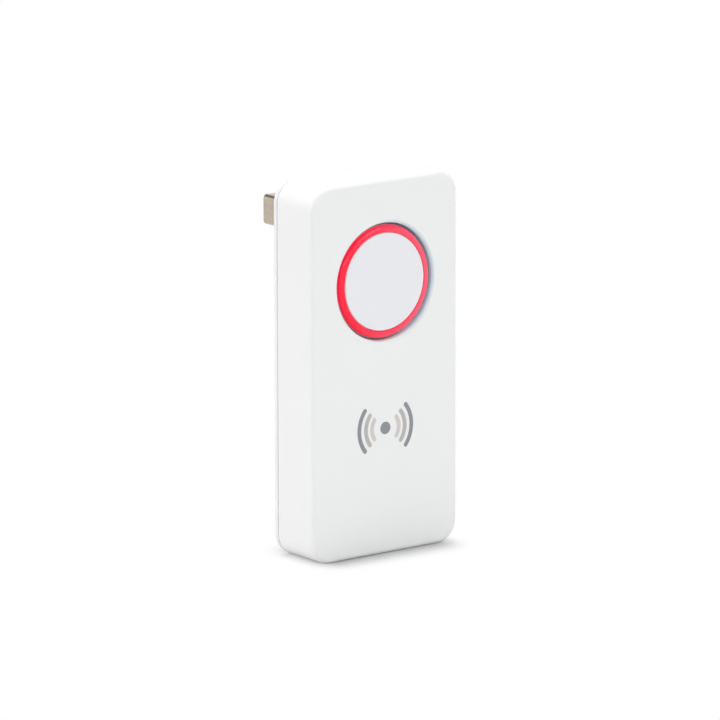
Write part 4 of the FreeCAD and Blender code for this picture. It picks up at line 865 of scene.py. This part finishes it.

# Floor: a plain studio floor. Its colour is painted slightly darker close to the repeater's base, a painted
# shadow. It turns pure white a few millimetres away from the base, and keeps the soft shadow that the
# repeater throws.
FLOOR_SIZE = 4.0
SHADOW_REACH = 6.5 * MM
PAINTED_SHADOW_REACH = 0.7 * SHADOW_REACH
SHADOW_MIDDLE = 0.2 * MM
SHADOW_HALF_WIDTH = 9.0 * MM
FLOOR_WHITE = (0.85, 0.85, 0.85, 1)
PAINTED_SHADOW_WHITE = (0.63, 0.63, 0.635, 1)
PURE_WHITE = (1, 1, 1, 1)


def turn_white(tree, share, surface, white, output):
    """Blends a surface into white where the camera, a reflection or a refraction sees it."""
    rays = tree.nodes.new("ShaderNodeLightPath")
    bent = calculate(tree, "MAXIMUM", rays.outputs["Is Glossy Ray"], rays.outputs["Is Transmission Ray"])
    seen = calculate(tree, "MAXIMUM", rays.outputs["Is Camera Ray"], bent)
    blend = tree.nodes.new("ShaderNodeMixShader")
    tree.links.new(calculate(tree, "MULTIPLY", seen, share), blend.inputs[0])
    tree.links.new(surface.outputs[0], blend.inputs[1])
    tree.links.new(white.outputs[0], blend.inputs[2])
    tree.links.new(blend.outputs[0], tree.nodes[output].inputs["Surface"])


mesh = bmesh.new()
bmesh.ops.create_grid(mesh, x_segments=8, y_segments=8, size=FLOOR_SIZE / 2)
floor_material = bpy.data.materials.new("studio floor")
floor_material.use_nodes = True
tree = floor_material.node_tree
matt = tree.nodes["Principled BSDF"]
matt.inputs["Roughness"].default_value = 0.9
matt.inputs["Specular IOR Level"].default_value = 0.1
spot = add_node(tree, "ShaderNodeSeparateXYZ", Vector=tree.nodes.new("ShaderNodeTexCoord").outputs["Object"])
across = calculate(tree, "ABSOLUTE", calculate(tree, "SUBTRACT", spot.outputs["X"], SHADOW_MIDDLE))
along = calculate(tree, "ABSOLUTE", spot.outputs["Y"])
past_side = calculate(tree, "MAXIMUM", calculate(tree, "SUBTRACT", across, SHADOW_HALF_WIDTH), 0.0)
past_face = calculate(tree, "MAXIMUM", calculate(tree, "SUBTRACT", along, -FACE), 0.0)
away = distance(tree, past_side, past_face)
fade = add_node(tree, "ShaderNodeMapRange", Value=away, From_Min=0.0, From_Max=SHADOW_REACH)
fade.interpolation_type = "SMOOTHSTEP"
# Painted shadow: the floor's colour is darker at the base and reaches its plain white at this distance
out_of_painted_shadow = add_node(tree, "ShaderNodeMapRange", Value=away, From_Min=0.0, From_Max=PAINTED_SHADOW_REACH)
give(tree, matt.inputs["Base Color"],
     mixed_colour(tree, out_of_painted_shadow.outputs["Result"], PAINTED_SHADOW_WHITE, FLOOR_WHITE))
white = add_node(tree, "ShaderNodeEmission", Color=PURE_WHITE, Strength=1.0)
turn_white(tree, fade.outputs["Result"], matt, white, "Material Output")
studio_floor = finished_piece("studio_floor", mesh, floor_material)

# Studio light: a pale room with a soft lamp above and behind, one on the left that lights the side, a broad
# one in front, and a long narrow one beside it that the ring's bend reflects as a thin line.
ROOM_LEVELS = [(0.0, 0.31), (0.53, 0.3), (1.0, 0.42)]
ROOM_TINT = (0.94, 0.965, 0.975, 1)
BACKDROP_FADE = (0.4, 0.5)
COOL_WHITE = (1.0, 1.0, 1.0)
WARM_WHITE = (1.0, 0.965, 0.975)
LAMPS = [("overhead lamp", (0.03, 0.1, 0.6), 0.24, 0.24, 2.1, COOL_WHITE),
         ("left lamp", (-0.52, 0.26, 0.2), 0.3, 0.3, 1.42, WARM_WHITE),
         ("front lamp", (0.25, -0.72, 0.66), 0.6, 0.25, 2.95, COOL_WHITE),
         ("strip lamp", (-0.35, -0.85, 0.46), 1.1, 0.08, 2.1, COOL_WHITE)]

world = bpy.data.worlds.new("studio room")
world.use_nodes = True
bpy.context.scene.world = world
tree = world.node_tree
rise = add_node(tree, "ShaderNodeSeparateXYZ",
                Vector=tree.nodes.new("ShaderNodeTexCoord").outputs["Generated"])
room = tree.nodes["Background"]
room.inputs["Color"].default_value = ROOM_TINT
room_greys = [(stop, (level, level, level, 1)) for stop, level in ROOM_LEVELS]
give(tree, room.inputs["Strength"], ramp_colour(tree, rise.outputs["Z"], room_greys))
below_top = add_node(tree, "ShaderNodeMapRange", Value=rise.outputs["Z"], From_Min=BACKDROP_FADE[0],
                     From_Max=BACKDROP_FADE[1], To_Min=1.0, To_Max=0.0)
backdrop = add_node(tree, "ShaderNodeBackground", Color=PURE_WHITE, Strength=1.0)
turn_white(tree, below_top.outputs["Result"], room, backdrop, "World Output")
aim = Vector((0, 0, MIDDLE))
for name, spot, width, depth, power, tint in LAMPS:
    lamp = bpy.data.lights.new(name, "AREA")
    lamp.shape = "RECTANGLE"
    lamp.size = width
    lamp.size_y = depth
    lamp.energy = power
    lamp.color = tint
    holder = bpy.data.objects.new(name, lamp)
    holder.location = spot
    holder.rotation_euler = (aim - Vector(spot)).to_track_quat("-Z", "Y").to_euler()
    bpy.context.collection.objects.link(holder)

# Camera: a long lens from the left of the face and a little above, as in the photograph
CAMERA_TURN = math.radians(37.784)
CAMERA_RISE = math.radians(12.455)
CAMERA_ROLL = math.radians(-0.106)
CAMERA_DISTANCE = 1084.6 * MM
CAMERA_LENS = 368.81
CAMERA_SHIFT = (-0.00904, 0.00803)
AIMED_AT = Vector((0, -0.125 * MM, 27.56 * MM))

ahead = Vector((math.sin(CAMERA_TURN) * math.cos(CAMERA_RISE), math.cos(CAMERA_TURN) * math.cos(CAMERA_RISE),
                -math.sin(CAMERA_RISE)))
rightward = Vector((math.cos(CAMERA_TURN), -math.sin(CAMERA_TURN), 0))
upward = rightward.cross(ahead)
turned = Matrix((rightward, upward, -ahead)).transposed() @ Matrix.Rotation(CAMERA_ROLL, 3, "Z")
lens = bpy.data.cameras.new("camera")
lens.lens = CAMERA_LENS
lens.shift_x, lens.shift_y = CAMERA_SHIFT
camera = bpy.data.objects.new("camera", lens)
camera.matrix_world = Matrix.Translation(AIMED_AT - ahead * CAMERA_DISTANCE) @ turned.to_4x4()
bpy.context.collection.objects.link(camera)
bpy.context.scene.camera = camera
bpy.context.scene.view_settings.view_transform = "Standard"
